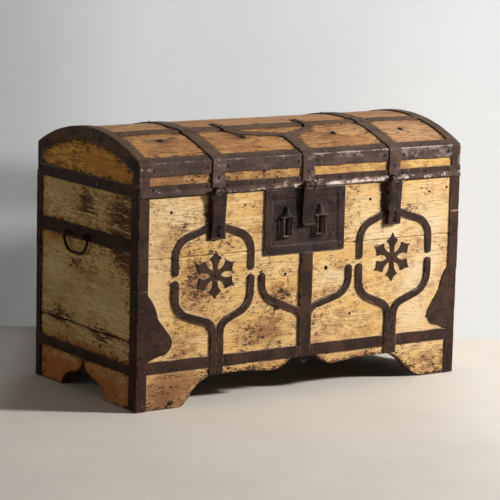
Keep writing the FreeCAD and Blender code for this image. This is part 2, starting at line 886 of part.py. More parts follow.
def hinge_leaf(x):
    """Rear hinge leaf about X = x: a plate on the back boards with two knuckles at the rim."""
    x0 = x - lid_strap / 2
    x1 = x + lid_strap / 2
    shoulder = hinge_z - hinge_barrel - barrel_clearance
    plate = block(x0, x1, half_depth, half_depth + leaf_plate, leaf_plate_low, shoulder)
    tie = block(x0, x1, half_depth + leaf_plate / 2, hinge_y, shoulder, hinge_z)
    inner = knuckle / 2 + knuckle_gap
    middle = block(x - inner, x + inner, half_depth, hinge_y, shoulder, hinge_z)
    neck = block(x0, x1, half_depth, half_depth + leaf_plate, leaf_plate_low, hinge_z - hinge_barrel / 2)
    knuckles = outer_knuckles(x, lid_strap, hinge_y, hinge_z, hinge_barrel)
    solid = union([neck.cut(middle), tie.cut(middle), plate] + knuckles)
    return solid.cut(cylinder_x(x0, x1, hinge_y, hinge_z, hinge_pin))


# Rear hinges under the two cross straps
hinge_places = (left_strap, right_strap)
carcass["left_hinge_leaf"] = hinge_leaf(hinge_places[0])
carcass["right_hinge_leaf"] = hinge_leaf(hinge_places[1])
hinge_pins = [
    cylinder_x(x - lid_strap / 2, x + lid_strap / 2, hinge_y, hinge_z, hinge_pin) for x in hinge_places
]
carcass["hinge_pins"] = Part.makeCompound(hinge_pins)


def hasp(x, bottom, extras, slots):
    """Hasp about X = x: two knuckles and a flat plate that hangs from them."""
    x0 = x - lid_strap / 2
    x1 = x + lid_strap / 2
    inner = knuckle / 2 + knuckle_gap
    back = hasp_y + hasp_thick / 2
    plate = block(x0, x1, back - hasp_thick, back, bottom, hasp_z)
    clearing = block(
        x - inner, x + inner, back - hasp_thick, back, hasp_z - hasp_barrel - barrel_clearance, hasp_z
    )
    solids = [plate.cut(clearing)] + outer_knuckles(x, lid_strap, hasp_y, hasp_z, hasp_barrel) + extras
    solid = union(solids).cut(cylinder_x(x0, x1, hasp_y, hasp_z, hasp_pin + running_clearance))
    for slot in slots:
        solid = solid.cut(slot)
    return solid


# Hasps: the side ones end in a slotted square, the centre one in a finger lip with a catch behind
hasp_back = hasp_y + hasp_thick / 2
hasp_front = hasp_y - hasp_thick / 2
staple_level = (hasp_end_high + hasp_end_low) / 2
for side, x in (("left", left_strap), ("right", right_strap)):
    half = hasp_end_width / 2
    square = block(x - half, x + half, hasp_front, hasp_back, hasp_end_low, hasp_end_high)
    slot = block(
        x - hasp_slot_width / 2,
        x + hasp_slot_width / 2,
        hasp_front,
        hasp_back,
        staple_level - hasp_slot_height / 2,
        staple_level + hasp_slot_height / 2,
    )
    movers[side + "_hasp"] = hasp(x, hasp_end_low, [square], [slot])
centre_hasp_low = rim_height - centre_hasp_drop
hasp_half = lid_strap / 2
finger_lip = cylinder_x(
    centre_strap - hasp_half, centre_strap + hasp_half, hasp_front, centre_hasp_low + centre_lip, centre_lip
)
catch = block(
    centre_strap - catch_width / 2,
    centre_strap + catch_width / 2,
    hasp_back,
    hasp_back + catch_depth,
    catch_level,
    catch_level + catch_height,
)
movers["centre_hasp"] = hasp(centre_strap, centre_hasp_low, [finger_lip, catch], [])


def staple(x):
    """Upright staple about X = x, driven through the hasp plate into the front boards."""
    plate_face = front_face - iron
    crown_y = plate_face - staple_reach + staple_rod
    root_y = plate_face + staple_grip
    half = staple_spacing / 2 - staple_rod
    path = [
        (root_y, staple_level - half),
        (crown_y, staple_level - half),
        (crown_y, staple_level + half),
        (root_y, staple_level + half),
    ]

    def place(u, v):
        return vec(x, u, v)

    return bent_rod(path, [half, half], staple_rod, place)


handle_x = -half_width - iron - handle_standoff


def handle_place(u, v):
    return vec(handle_x, handle_shift + u, v)


def drop_handle():
    """Bail of the left end: one rod bent to a bow, its ends turned in through the eyes and upset."""
    half = handle_span / 2
    low = handle_level - handle_drop
    stub = half - handle_bend - eye_width - 2 * eye_play - handle_knob
    path = [
        (-stub, handle_level),
        (-half, handle_level),
        (-half, low),
        (half, low),
        (half, handle_level),
        (stub, handle_level),
    ]
    radii = [handle_bend, handle_corner, handle_corner, handle_bend]
    rod = bent_rod(path, radii, handle_rod, handle_place)
    knobs = [Part.makeSphere(handle_knob, handle_place(u, handle_level)) for u in (-stub, stub)]
    return union([rod] + knobs)


def handle_eye(sign):
    """Eye that carries one end of the left handle, with a shank through strap and board."""
    middle = sign * (handle_span / 2 - handle_bend - eye_play - eye_width / 2)
    base = handle_place(middle - eye_width / 2, handle_level)
    ring = Part.makeCylinder(eye_radius, eye_width, base, vec(0, 1, 0))
    bore = Part.makeCylinder(handle_rod + running_clearance, eye_width, base, vec(0, 1, 0))
    root = handle_place(middle, handle_level)
    shank = Part.makeCylinder(eye_shank, -half_width + board - handle_x, root, vec(1, 0, 0))
    return union([ring, shank]).cut(bore)


def apron_loop():
    """Small loop that hangs under the middle of the front apron."""
    half = loop_span / 2
    path = [
        (-half, arch_top + loop_grip),
        (-half, arch_top - loop_drop),
        (half, arch_top - loop_drop),
        (half, arch_top + loop_grip),
    ]

    def place(u, v):
        return vec(loop_share * case_width + u, -half_depth + loop_depth, v)

    return bent_rod(path, [half, half], loop_rod, place)


# Staples, eyes and the apron loop are driven through the irons and boards behind them
staples = [staple(x) for x in hinge_places]
left_eyes = [handle_eye(sign) for sign in (-1, 1)]
eyes = left_eyes + [mirror_x(eye) for eye in left_eyes]
movers["left_handle"] = drop_handle()
movers["right_handle"] = mirror_x(movers["left_handle"])


def nail(point, normal):
    """Nail whose domed head sits on the given point, with its shank driven in against the normal."""
    sphere_radius = (nail_head**2 + nail_rise**2) / (2 * nail_rise)
    edge_angle = math.asin(nail_head / sphere_radius) / 2
    bow = vec(
        sphere_radius * math.sin(edge_angle), 0, sphere_radius * (math.cos(edge_angle) - 1) + nail_rise
    )
    rim = vec(nail_head, 0, 0)
    corners = [rim, vec(nail_shank, 0, 0), vec(nail_shank, 0, -nail_length), vec(0, 0, -nail_length)]
    top = vec(0, 0, nail_rise)
    edges = [Part.Arc(top, bow, rim).toShape()]
    for start, finish in zip(corners, corners[1:] + [top]):
        edges.append(Part.makeLine(start, finish))
    solid = Part.Face(Part.Wire(edges)).revolve(vec(0, 0, 0), vec(0, 0, 1), 360)
    solid.Placement = FreeCAD.Placement(point, FreeCAD.Rotation(vec(0, 0, 1), normal))
    return solid


def front_nail(x, z, thick):
    return nail(vec(x, front_face - thick, z), vec(0, -1, 0))


def left_nail(y, z):
    return nail(vec(left_face - iron, y, z), vec(-1, 0, 0))


def back_nail(x, z, thick):
    return nail(vec(x, half_depth + thick, z), vec(0, 1, 0))


def dome_nail(x, y, thick):
    radius = dome_radius + thick
    rise = math.sqrt(radius**2 - y**2)
    return nail(vec(x, y, dome_centre + rise), vec(0, y, rise))


def run_nails(low, high, pitch):
    """Evenly spaced places along a run of strap, inset from both ends and about one pitch apart."""
    length = high - low - 2 * nail_inset
    count = max(2, 1 + int(length / pitch))
    return [low + nail_inset + length * index / (count - 1) for index in range(count)]


def both_sides(nails):
    return nails + [mirror_x(one) for one in nails]


# Nails of the carcass: the corners and ends are mirrored, the strapwork has its own
corner_line = half_width + iron - corner_front_leg / 2
end_strap_line = end_strap_level + end_strap / 2
left_nails = []
for z in run_nails(corner_floor_gap, rim_height, sparse_pitch):
    left_nails.append(front_nail(-corner_line, z, iron))
    left_nails.append(back_nail(-corner_line, z, iron))
    left_nails.append(left_nail(strap_front - corner_end_leg / 2, z))
    left_nails.append(left_nail(strap_back + corner_rear_end_leg / 2, z))
left_nails.append(front_nail(leaf_cheek_reach - half_width - iron, leaf_lobe + 2 * nail_inset, iron))
for y in run_nails(strap_front, strap_back, sparse_pitch):
    left_nails.append(left_nail(y, end_strap_line))
for y in (strap_front + nail_inset, strap_back - nail_inset):
    left_nails.append(left_nail(y, mid_strap_level + mid_strap / 2))
carcass_nails = both_sides(left_nails)
strap_line = lower_strap_level + lower_strap / 2
half_bar = split_bar / 2
half_tab = anchor_tab / 2
strap_runs = [
    (-strap_x, left_bar - half_bar),
    (left_bar + half_bar, anchor_x - half_tab),
    (anchor_x + half_tab, right_bar - half_bar),
    (right_bar + half_bar, strap_x),
]
for low, high in strap_runs:
    carcass_nails += [front_nail(x, strap_line, iron) for x in run_nails(low, high, sparse_pitch)]
for bar_x, middle, star in ((left_bar, left_middle, left_star), (right_bar, right_middle, right_star)):
    carcass_nails.append(front_nail(bar_x, (strap_top + scroll_crotch) / 2, bar_iron))
    carcass_nails.append(front_nail(star, rosette_level, iron))
    for x in (middle - scroll_spread, middle + scroll_spread):
        carcass_nails.append(front_nail(x, scroll_end, bar_iron))
        carcass_nails.append(front_nail(x, upper_end, iron))
for share in (anchor_left_share, anchor_right_share):
    carcass_nails.append(front_nail(share * case_width, anchor_end, bar_iron))
carcass_nails += [front_nail(anchor_x, z, bar_iron) for z in run_nails(strap_top, lock_low, sparse_pitch)]
for x in (lock_x - lock_half + nail_inset, lock_x + lock_half - nail_inset):
    for z in (lock_low + nail_inset, rim_height - nail_inset):
        carcass_nails.append(front_nail(x, z, lock_field + lock_border_rise))
for x in hinge_places:
    for z in run_nails(leaf_plate_low, rim_height - lock_border, nail_pitch):
        carcass_nails.append(back_nail(x, z, leaf_plate))

# Nails of the lid: the ends are mirrored, the runs between the straps have their own
rim_line = (lid_bottom + lip_height + rim_top) / 2
arris_line = (arris_low + lid_arris) / 2
left_nails = [left_nail(y, rim_line) for y in run_nails(-half_depth, half_depth, sparse_pitch)]
arch_line = dome_radius + iron - edge_arch_leg / 2
for y in run_nails(edge_arch_leg - half_depth, half_depth - edge_arch_leg, sparse_pitch):
    left_nails.append(left_nail(y, dome_centre + math.sqrt(arch_line**2 - y**2)))
lid_nails = both_sides(left_nails)
strap_edge = lid_strap / 2
edges = [-band_x]
for x in strap_places:
    edges += [x - strap_edge, x + strap_edge]
edges.append(band_x)
long_line = -long_strap_near - long_strap_width / 2
for low, high in zip(edges[::2], edges[1::2]):
    lid_nails += [front_nail(x, rim_line, iron) for x in run_nails(low, high, nail_pitch)]
    lid_nails += [front_nail(x, arris_line, iron) for x in run_nails(low, high, sparse_pitch)]
    lid_nails += [back_nail(x, arris_line, iron) for x in run_nails(low, high, sparse_pitch)]
for low, high in (edges[:2], edges[-2:]):
    lid_nails += [dome_nail(x, long_line, iron) for x in run_nails(low, high, sparse_pitch)]
strap_nail_line = (rim_top + arris_low) / 2
lid_nails += [front_nail(x, strap_nail_line, lid_strap_rise) for x in strap_places]
for x in hinge_places:
    lid_nails.append(back_nail(x, strap_nail_line, lid_strap_rise))
    for y in run_nails(-long_strap_near, half_depth - arris_top, sparse_pitch):
        lid_nails.append(dome_nail(x, y, iron))
for x in (branch_left, branch_right):
    lid_nails.append(dome_nail(x, -lid_branch_end, iron))


def drive(pieces, fasteners):
    """Open holes for the fasteners in every piece that they pass through."""
    for name, piece in pieces.items():
        hits = [one for one in fasteners if one.BoundBox.intersect(piece.BoundBox)]
        if hits:
            pieces[name] = piece.cut(Part.makeCompound(hits))


loop = apron_loop()
drive(carcass, carcass_nails + staples + eyes + [loop])
drive(lid, lid_nails)
carcass["hasp_staples"] = Part.makeCompound(staples)
carcass["handle_eyes"] = Part.makeCompound(eyes)
carcass["apron_loop"] = loop
carcass["carcass_nails"] = Part.makeCompound(carcass_nails)
lid["lid_nails"] = Part.makeCompound(lid_nails)

for pieces in (carcass, lid, movers):
    for name, piece in pieces.items():
        piece.exportStep("parts/" + name + ".step")
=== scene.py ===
import math

import bpy
import numpy as np
from mathutils import Matrix, Vector


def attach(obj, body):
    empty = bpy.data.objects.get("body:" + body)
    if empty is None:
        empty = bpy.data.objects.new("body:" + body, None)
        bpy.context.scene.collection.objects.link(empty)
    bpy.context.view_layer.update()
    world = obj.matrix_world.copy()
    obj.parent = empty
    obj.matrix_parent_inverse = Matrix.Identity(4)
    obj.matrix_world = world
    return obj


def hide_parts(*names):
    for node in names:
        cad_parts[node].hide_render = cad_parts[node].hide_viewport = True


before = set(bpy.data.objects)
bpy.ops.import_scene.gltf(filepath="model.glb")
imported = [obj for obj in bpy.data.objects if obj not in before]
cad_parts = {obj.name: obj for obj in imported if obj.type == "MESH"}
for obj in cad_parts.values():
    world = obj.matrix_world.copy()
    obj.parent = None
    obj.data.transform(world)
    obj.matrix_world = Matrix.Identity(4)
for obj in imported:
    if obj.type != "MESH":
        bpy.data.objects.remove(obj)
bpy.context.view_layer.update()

# Front boards
# Two softwood planks with the rests of a pale paint, butted edge to edge and rebated over the ends.
# The lower one is sawn to two feet, two pendants and a flat arch. Both are nailed on from the front.
half_width = 0.596
half_depth = 0.296
rim_level = 0.637
plank = 0.028
front_joint = 0.455
joint_gap = 0.0006
anchor_x = 0.00656


def case_face(axis, sense):
    """Upright face of the case, square to an axis: a function that gives the place and the outward
    direction for u along the face and the height v."""
    out = np.zeros(3)
    out[axis] = sense

    def face(u, v):
        u, v = np.broadcast_arrays(u, v)
        flat = np.full(u.shape, sense * (half_width, half_depth)[axis])
        return np.stack([u, flat, v] if axis else [flat, u, v], axis=-1), out

    return face


front = case_face(1, -1)


def uneven(place, pitch, seed):
    """Smooth unevenness from about -1 to 1: five sine waves in spread directions, each about a pitch long."""
    total = 0.0
    for k in range(5):
        way = np.sin(np.array([2.4, 4.1, 5.3]) * k + np.array([1.0, 1.7, 2.3]) * seed + np.array([0, 1, 2]))
        wave = (0.7 + 0.17 * k) * 2 * np.pi / pitch
        total = total + np.sin(place @ (way / np.linalg.norm(way)) * wave + 1.9 * k * seed)
    return total / 3


def closed(grid, wear):
    """Skin over a grid of stations by section points, capped at both ends and turned so that its volume
    comes out positive."""
    rows, columns = grid.shape[:2]
    here = np.arange(columns)
    after = np.roll(here, -1)
    step = np.arange(rows - 1)[:, None] * columns
    quads = np.stack([step + here, step + after, step + columns + after, step + columns + here], axis=-1)
    quads = quads.reshape(-1, 4)
    caps = np.stack([here[::-1], here + (rows - 1) * columns])
    points = grid.reshape(-1, 3)
    arm = points - points.mean(axis=0)
    a, b, c, d = arm[quads.T]
    ring = arm[caps]
    volume = np.sum(a * np.cross(b, c)) + np.sum(a * np.cross(c, d))
    volume += np.sum(ring[:, :1] * np.cross(ring, np.roll(ring, -1, axis=1)))
    turn = 1 if volume > 0 else -1
    wear = np.broadcast_to(wear, (rows, columns)).reshape(-1)
    return {"points": points, "quads": quads[:, ::turn], "caps": caps[:, ::turn], "wear": wear}


def forged(face, path, side, low, high, thick, base=0.0, ease=0.0012, rows=5, dress=0.0002, pitch=0.06,
           relief=None, rubbed=None):
    """Flat piece on a face. At each station of the path its section runs along side from the low edge to the
    high one and stands from base to thick. Outer arrises and both ends are rounded by ease, relief(u, v) is
    added outside, and sine waves of a pitch lift it by dress. It is worn at its arrises, or by rubbed."""
    low, high, thick = (np.broadcast_to(one, len(path)).astype(float)[:, None] for one in (low, high, thick))
    travel = np.hstack([[0], np.cumsum(np.linalg.norm(np.diff(path, axis=0), axis=1))])[:, None]
    rounding = np.minimum(ease, 0.3 * (high - low))
    soft = np.minimum(rounding, 0.2 * (high - low))
    margin = soft * np.array([0.0, 0.0, 0.3, 1.0, 2.2])
    shares = (np.linspace(0, 1, rows) if np.isscalar(rows) else rows)[1:-1]
    flat = low + margin[:, -1:] + (high - low - 4.4 * soft) * shares
    across = np.hstack([low + margin, flat, high - margin[:, ::-1]])
    plain_rows = np.zeros(len(shares))
    drop = np.array([0.0, 1.0, 0.3, 0.0, 0.0])
    fall = np.hstack([drop, plain_rows, drop[::-1]])
    wear = np.array([0.6, 1.0, 1.0, 0.85, 0.15])
    worn = np.hstack([wear, plain_rows, wear[::-1]])
    lead = np.clip(np.minimum(travel, travel[-1] - travel) / ease, 0, 1)
    tip = ease * (1 - np.sqrt(1 - (1 - lead) ** 2))
    u = path[:, :1] + across * side[:, :1]
    v = path[:, 1:] + across * side[:, 1:]
    place, out = face(u, v)
    height = thick - rounding * fall - tip + dress * uneven(place, pitch, 1.3)
    if relief is not None:
        height = height + relief(u, v)
    height[:, [0, -1]] = base
    worn = np.maximum(worn, 1 - lead) if rubbed is None else rubbed(u, v)
    shell = closed(place + out * height[..., None], worn)
    shell["foot"] = np.vstack([place[::2, 0], place[::2, -1], place[0], place[-1]])
    return shell


def bowed(corners, step=0.004):
    """Line through corners (u, v, bow): each bow pushes its run out to the left by a parabola that high."""
    runs = []
    for (u, v, bow), (next_u, next_v, _) in zip(corners, corners[1:]):
        run, rise = next_u - u, next_v - v
        length = math.hypot(run, rise)
        share = np.linspace(0, 1, int(length / step) + 2)[:-1]
        push = 4 * bow * share * (1 - share) / length
        runs.append(np.stack([u + run * share - rise * push, v + rise * share + run * push], axis=1))
    return np.vstack(runs + [[corners[-1][:2]]])


def apron_half(half_run, toe):
    """Lower edge of half a front board, from its foot of width toe to the middle of the arch."""
    return bowed([
        (half_run - toe, 0, 0.005), (half_run - 0.186, 0.035, -0.009), (half_run - 0.266, 0.087, 0),
        (0.2, 0.087, 0.002), (0.1, 0.077, 0.003), (0.042, 0.112, 0), (0, 0.112, 0)])


def straight(start, end, step=0.006):
    """Stations of a straight run, close together at both ends."""
    even = np.linspace(start, end, max(3, int((end - start) / step)))
    close = np.array([0.0004, 0.0012, 0.003])
    return np.unique(np.hstack([even, start + close, end - close]))


def course(run, at=0.0, up=False):
    """Path and side for stations along u at a fixed v, or up along v at a fixed u."""
    still = np.full(run.shape, at)
    path = np.stack([still, run] if up else [run, still], axis=1)
    return path, np.tile([1.0, 0.0] if up else [0.0, 1.0], (len(run), 1))


def placed(name, data):
    """New object at the origin."""
    thing = bpy.data.objects.new(name, data)
    bpy.context.scene.collection.objects.link(thing)
    return thing


def piece(name, points, faces, wear, finish, body):
    """New piece with its wear kept point by point."""
    mesh = bpy.data.meshes.new(name)
    mesh.from_pydata(points.tolist(), [], faces)
    mesh.attributes.new("wear", "FLOAT", "POINT").data.foreach_set("value", wear.astype(np.float32))
    mesh.materials.append(finish)
    made = placed(name, mesh)
    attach(made, body)
    return made


def put(name, shells, body, finish, slot, *nodes):
    """One piece made of closed skins, smooth but for its sharp arrises."""
    start = 0
    faces = []
    for shell in shells:
        faces += (shell["quads"] + start).tolist() + (shell["caps"] + start).tolist()
        start += len(shell["points"])
    points, wear = (np.concatenate([shell[key] for shell in shells]) for key in ("points", "wear"))
    made = piece(name, points, faces, wear, finish, body)
    made.data.shade_smooth()
    made.data.set_sharp_from_angle(angle=math.radians(52))
    if nodes:
        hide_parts(*nodes)
    return made


class Tone:
    """One socket of a finish. Sums on it add Math nodes, and node() adds any other kind."""

    def __init__(self, tree, socket):
        self.tree = tree
        self.socket = socket

    def node(self, kind, settings, values, out=0):
        """New node: its settings first, then a number, a colour or a link for each of its sockets."""
        fresh = self.tree.nodes.new("ShaderNode" + kind)
        for key, value in settings.items():
            setattr(fresh, key, value)
        for key, value in values.items():
            if isinstance(value, Tone):
                self.tree.links.new(value.socket, fresh.inputs[key])
            else:
                fresh.inputs[key].default_value = value
        return Tone(self.tree, fresh.outputs[out])

    def also(self, out):
        return Tone(self.tree, self.socket.node.outputs[out])

    def sums(self, operation, first, second):
        return self.node("Math", {"operation": operation}, {0: first, 1: second})

    def __add__(self, other):
        return self.sums("ADD", self, other)

    def __sub__(self, other):
        return self.sums("SUBTRACT", self, other)

    def __rsub__(self, other):
        return self.sums("SUBTRACT", other, self)

    def __mul__(self, other):
        return self.sums("MULTIPLY", self, other)

    __radd__ = __add__
    __rmul__ = __mul__


def begun(name):
    """New material, its shader and the place on the piece."""
    made = bpy.data.materials.new(name)
    made.use_nodes = True
    tree = made.node_tree
    place = tree.nodes.new("ShaderNodeTexCoord").outputs["Object"]
    return made, tree.nodes["Principled BSDF"], Tone(tree, place)


def feed(shader, **tones):
    """Links tones to the shader's sockets, named with _ for a space."""
    for name, tone in tones.items():
        tone.tree.links.new(tone.socket, shader.inputs[name.replace("_", " ")])


def cloud(place, scale, detail, rough=0.55, way=(1.0, 1.0, 1.0), shift=0.0):
    """Cloudy noise from 0 to 1, about 1 / scale metres across, drawn in by a factor each way and shifted."""
    place = place.node("Mapping", {}, {"Vector": place, "Scale": way, "Location": (shift,) * 3})
    return place.node("TexNoise", {}, {"Vector": place, "Scale": scale, "Detail": detail, "Roughness": rough})


def between(value, low, high):
    """Soft step: 0 below low, 1 above high."""
    return value.node("MapRange", {"interpolation_type": "SMOOTHSTEP"}, {0: value, 1: low, 2: high})


def mixed(share, first, second):
    """Colour on the way from the first to the second, each a tone or its red, green and blue."""
    first, second = (one if isinstance(one, Tone) else (*one, 1.0) for one in (first, second))
    return share.node("Mix", {"data_type": "RGBA"}, {0: share, 6: first, 7: second}, 2)


def painted_plank(name, along, pale, body, deep, red, dirt, worn, lines, thick, scratch=0.0):
    """Old softwood with the rests of paint: bands and clouds from the body colour to the pale one, deeper
    patches, grain lines along the contours of a drawn-out cloud, and dashes worn through to dirt. Worn is how
    much is gone, lines how strong the grain is, thick how soon dirt closes up, scratch how many pale scuffs
    there are. The board's own state adds dirt, bleaching and ruddiness; on some boards it also carries
    painted shadows, painted sheen and a painted lighter and darker side."""
    made, shader, place = begun(name)
    state = place.node("Attribute", {"attribute_name": "state"}, {})
    dirt_and_shadow = state.node("SeparateColor", {}, {0: state})
    bleached_and_sheen, ruddy_and_shade = dirt_and_shadow.also(1), dirt_and_shadow.also(2)

    def drawn(height, scale, detail, rough, shift=0.0):
        way = tuple(height if across else 1.0 for across in along)
        return cloud(place, scale, detail, rough, way, shift)

    band = drawn(6.0, 3.0, 6.0, 0.6)
    drift = drawn(1.5, 8.0, 6.0, 0.65, 3.0)
    blotch = drawn(2.4, 20.0, 4.0, 0.6, 9.0)
    ring = drawn(10.0, 2.6, 3.0, 0.5, 2.0)
    dash = drawn(3.0, 105.0, 5.0, 0.75)
    flake = drawn(1.6, 42.0, 5.0, 0.7, 4.0)
    cluster = drawn(1.7, 10.0, 5.0, 0.65, 5.0)
    scuff = drawn(14.0, 10.0, 5.0, 0.75, 7.0)
    grain = between(ring.sums("SINE", 75.0 * ring + 2.0 * dash, 0.0), 0.1, 0.95)
    tint = mixed(between(0.45 * band + 0.3 * drift + 0.25 * blotch, 0.43, 0.57), body, pale)
    tint = mixed(between(drift - 0.15 * bleached_and_sheen + 0.5 * (blotch - 0.5), 0.46, 0.64) * 0.75, tint, deep)
    tint = mixed(ruddy_and_shade * between(0.6 * drift + 0.6 * blotch + 0.3 * ruddy_and_shade, 0.56, 0.86), tint, red)
    # Pales where the state holds bleaching, and also where it holds painted sheen and light.
    tint = mixed(bleached_and_sheen * 0.75, tint, [0.3 + 0.62 * c for c in pale])
    tint = mixed(grain * between(band + 0.4 * (dash - 0.5), 0.36, 0.56) * lines, tint, red)
    spent = 1.2 * dash + flake + 0.6 * cluster + 0.3 * dirt_and_shadow - 0.15 * bleached_and_sheen
    hole = between(spent, 1.6 - worn, 1.69 - worn)
    tint = mixed(between(spent, 1.5 - worn, 1.61 - worn) * 0.7, tint, red)
    tint = mixed(hole, tint, dirt)
    # Darkens to the dirt colour where the state holds dirt, and also where it holds painted shadows.
    grime_and_shadow = dirt_and_shadow + 0.6 * (dash - 0.5) + 0.9 * (flake - 0.5)
    tint = mixed(between(grime_and_shadow, 1.0 - thick, 1.5 - thick), tint, dirt)
    tint = mixed(between(scuff + 0.2 * (cluster - 0.5) - 0.2 * ruddy_and_shade, 0.545, 0.61) * scratch, tint, pale)
    height = 0.35 * drift + 0.3 * dash - 0.3 * grain - 0.55 * hole
    bump = height.node("Bump", {}, {"Strength": 0.55, "Distance": 0.003, "Height": height})
    feed(shader, Base_Color=tint, Roughness=0.42 + 0.22 * drift + 0.3 * hole + 0.1 * dash, Normal=bump)
    shader.inputs["Specular IOR Level"].default_value = 0.4
    return made


front_paint = painted_plank(
    "front_paint", (0, 1, 1), (0.92, 0.67, 0.31), (0.81, 0.49, 0.16), (0.5, 0.215, 0.05),
    (0.28, 0.11, 0.032), (0.05, 0.021, 0.01), worn=0.05, lines=0.35, thick=0.1)
left_edge = apron_half(half_width + anchor_x, 0.151) * (-1.0, 1.0)
right_edge = apron_half(half_width - anchor_x, 0.118)
apron = np.vstack([left_edge, right_edge[-2::-1]]) + (anchor_x, 0)
board_run = np.sort(np.hstack([straight(-half_width, half_width, 0.004), apron[::2, 0]]))
fine = np.arange(-0.36, 0.36, 0.001)
weight = np.hanning(27)
smooth = np.convolve(np.interp(fine, *apron.T), weight / weight.sum(), mode="same")
under = np.interp(board_run, *apron.T)
under = np.where(np.abs(board_run) < 0.34, np.interp(board_run, fine, smooth), under)


def long_boards(name, face, finish, slot):
    """Lower and upper plank of the front or back, with slow waves in their faces."""
    made = []
    lower = ("lower", under, front_joint - joint_gap)
    upper = ("upper", front_joint + joint_gap, rim_level)
    for part, low, high in (lower, upper):
        skin = forged(face, *course(board_run), low, high, 0.0, -plank, 0.0025, 100, 0.0006, 0.3)
        made.append(put(f"{name}_{part}_plank", [skin], "carcass", finish, slot, f"{name}_{part}_board"))
    return made


front_boards = long_boards("front", front, front_paint, "front_wood")

# Back and floor boards
# Plain unpainted softwood: two planks sawn like the front ones, and two floor boards let into grooves.
# The back is nailed on like the front, and the floor is held by its edges alone.
back = case_face(1, 1)
bare_wood = painted_plank(
    "bare_wood", (0, 1, 1), (0.24, 0.14, 0.06), (0.15, 0.08, 0.032), (0.08, 0.036, 0.013),
    (0.06, 0.026, 0.01), (0.02, 0.01, 0.005), worn=0.02, lines=0.6, thick=0.4)
back_boards = long_boards("back", back, bare_wood, "plain_wood")


def finished(finish, *names):
    """Gives solids of the part a finish."""
    for name in names:
        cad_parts[name].material_slots[0].material = finish


finished(bare_wood, "floor_front_board", "floor_back_board")

# End boards
# Two planks in each end, their grain running front to back, with a greener and much more worn paint. The
# lower one is sawn to an ogee arch, and the joint has shrunk open. They sit in rebates of the front and back.
end_joint = 0.205
end_gap = 0.0016
end_half = 0.2682
left = case_face(0, -1)
right = case_face(0, 1)
ends = (("left", left), ("right", right))
end_paint = painted_plank(
    "end_paint", (1, 0, 1), (0.82, 0.64, 0.3), (0.58, 0.41, 0.16), (0.4, 0.22, 0.065),
    (0.51, 0.18, 0.032), (0.11, 0.04, 0.016), worn=0.04, lines=0.4, thick=0.6, scratch=1.0)
ogee = bowed([(0.131, 0, -0.013), (0.062, 0.05, 0.0085), (0, 0.094, 0)])
ogee = np.vstack([ogee * (-1.0, 1.0), ogee[-2::-1]]) + (0.014, 0)
end_run = np.sort(np.hstack([straight(-end_half, end_half), ogee[::2, 0]]))
end_under = np.interp(end_run, *ogee.T)
split = end_joint + 0.0012 * np.sin(23 * end_run) + 0.0008 * np.sin(61 * end_run + 1)
end_boards = []
for hand, face in ends:
    for part, low, high in (("lower", end_under, split - end_gap), ("upper", split + end_gap, rim_level)):
        skin = forged(face, *course(end_run), low, high, 0.0, -plank, 0.0025, 50, 0.0007, 0.25)
        name = f"{hand}_{part}_end_plank"
        end_boards.append(put(name, [skin], "carcass", end_paint, "end_wood", f"{hand}_end_{part}_board"))

# Corner irons
# Angle irons forged from flat bar and nailed over the upright edges, lapped where two lengths meet.
# On the front their flat swells to a leaf above the lower strap.
iron = 0.004
front_leg = 0.036
strap_low, strap_high = 0.112, 0.148


def forged_iron(name, black, brown, bright, gloss, rub, dust=0.0):
    """Old wrought iron: a dark skin with rust in clouds and fine mottling, pitted, and rubbed to a dull shine
    in broken patches on its arrises and in scuffs, more the larger rub is. Dust lies on the dome alone."""
    made, shader, place = begun(name)
    wear = place.node("Attribute", {"attribute_name": "wear"}, {}, 2)
    rust = cloud(place, 13.0, 5.0, 0.65)
    mottle = cloud(place, 90.0, 6.0, 0.8)
    blows = cloud(place, 42.0, 5.0, 0.7, (0.5, 1.0, 1.0))
    tint = mixed(between(0.45 * rust + 0.55 * mottle, 0.45, 0.56), black, brown)
    tint = mixed(between(mottle, 0.53, 0.66) * 0.85, tint, [0.3 * c for c in black])
    if dust:
        above = between(place.node("SeparateXYZ", {}, {0: place}, 2), 0.744, 0.76)
        lying = above * between(0.5 * rust + 0.5 * mottle, 0.36, 0.56) * dust
        tint = mixed(lying, tint, (0.17, 0.105, 0.058))
        wear = wear * (1.0 - 0.9 * above)
    rubbed = between(0.5 * wear + 1.7 * (blows - 0.5) + 1.3 * (mottle - 0.5), 0.36 - rub, 0.62 - rub)
    if dust:
        rubbed = rubbed * (1.0 - 0.7 * above)
    tint = mixed(rubbed * 0.85, tint, bright)
    rough = gloss + 0.2 * rust + 0.4 * mottle - 0.06 * rubbed
    height = 0.8 * mottle + 0.8 * blows
    bump = height.node("Bump", {}, {"Strength": 0.7, "Distance": 0.002, "Height": height})
    feed(shader, Base_Color=tint, Roughness=rough, Normal=bump, Metallic=0.15 + 0.6 * rubbed)
    shader.inputs["Specular IOR Level"].default_value = 0.14
    return made


strap_iron = forged_iron(
    "strap_iron_old", (0.026, 0.0135, 0.0095), (0.074, 0.036, 0.024), (0.2, 0.135, 0.1), gloss=0.3, rub=0.05)
carcass_irons = []


def bind(name, shells, node):
    """Strap iron on the carcass. The dirt follows its edges later."""
    put(name, shells, "carcass", strap_iron, "strap_iron", node)
    carcass_irons.extend(shells)


def leaf_reach(level, drawn):
    """Width of a front leg by height: even, but for a leaf above the strap that is drawn out by a share."""
    leaf = bowed([
        (front_leg, 0.35, 0.006), (0.072, 0.278, 0), (0.108, 0.232, 0.018), (0.102, 0.168, -0.003),
        (front_leg, strap_high, 0)], 0.002)[::-1]
    return front_leg + drawn * (np.interp(level, leaf[:, 1], leaf[:, 0], front_leg, front_leg) - front_leg)


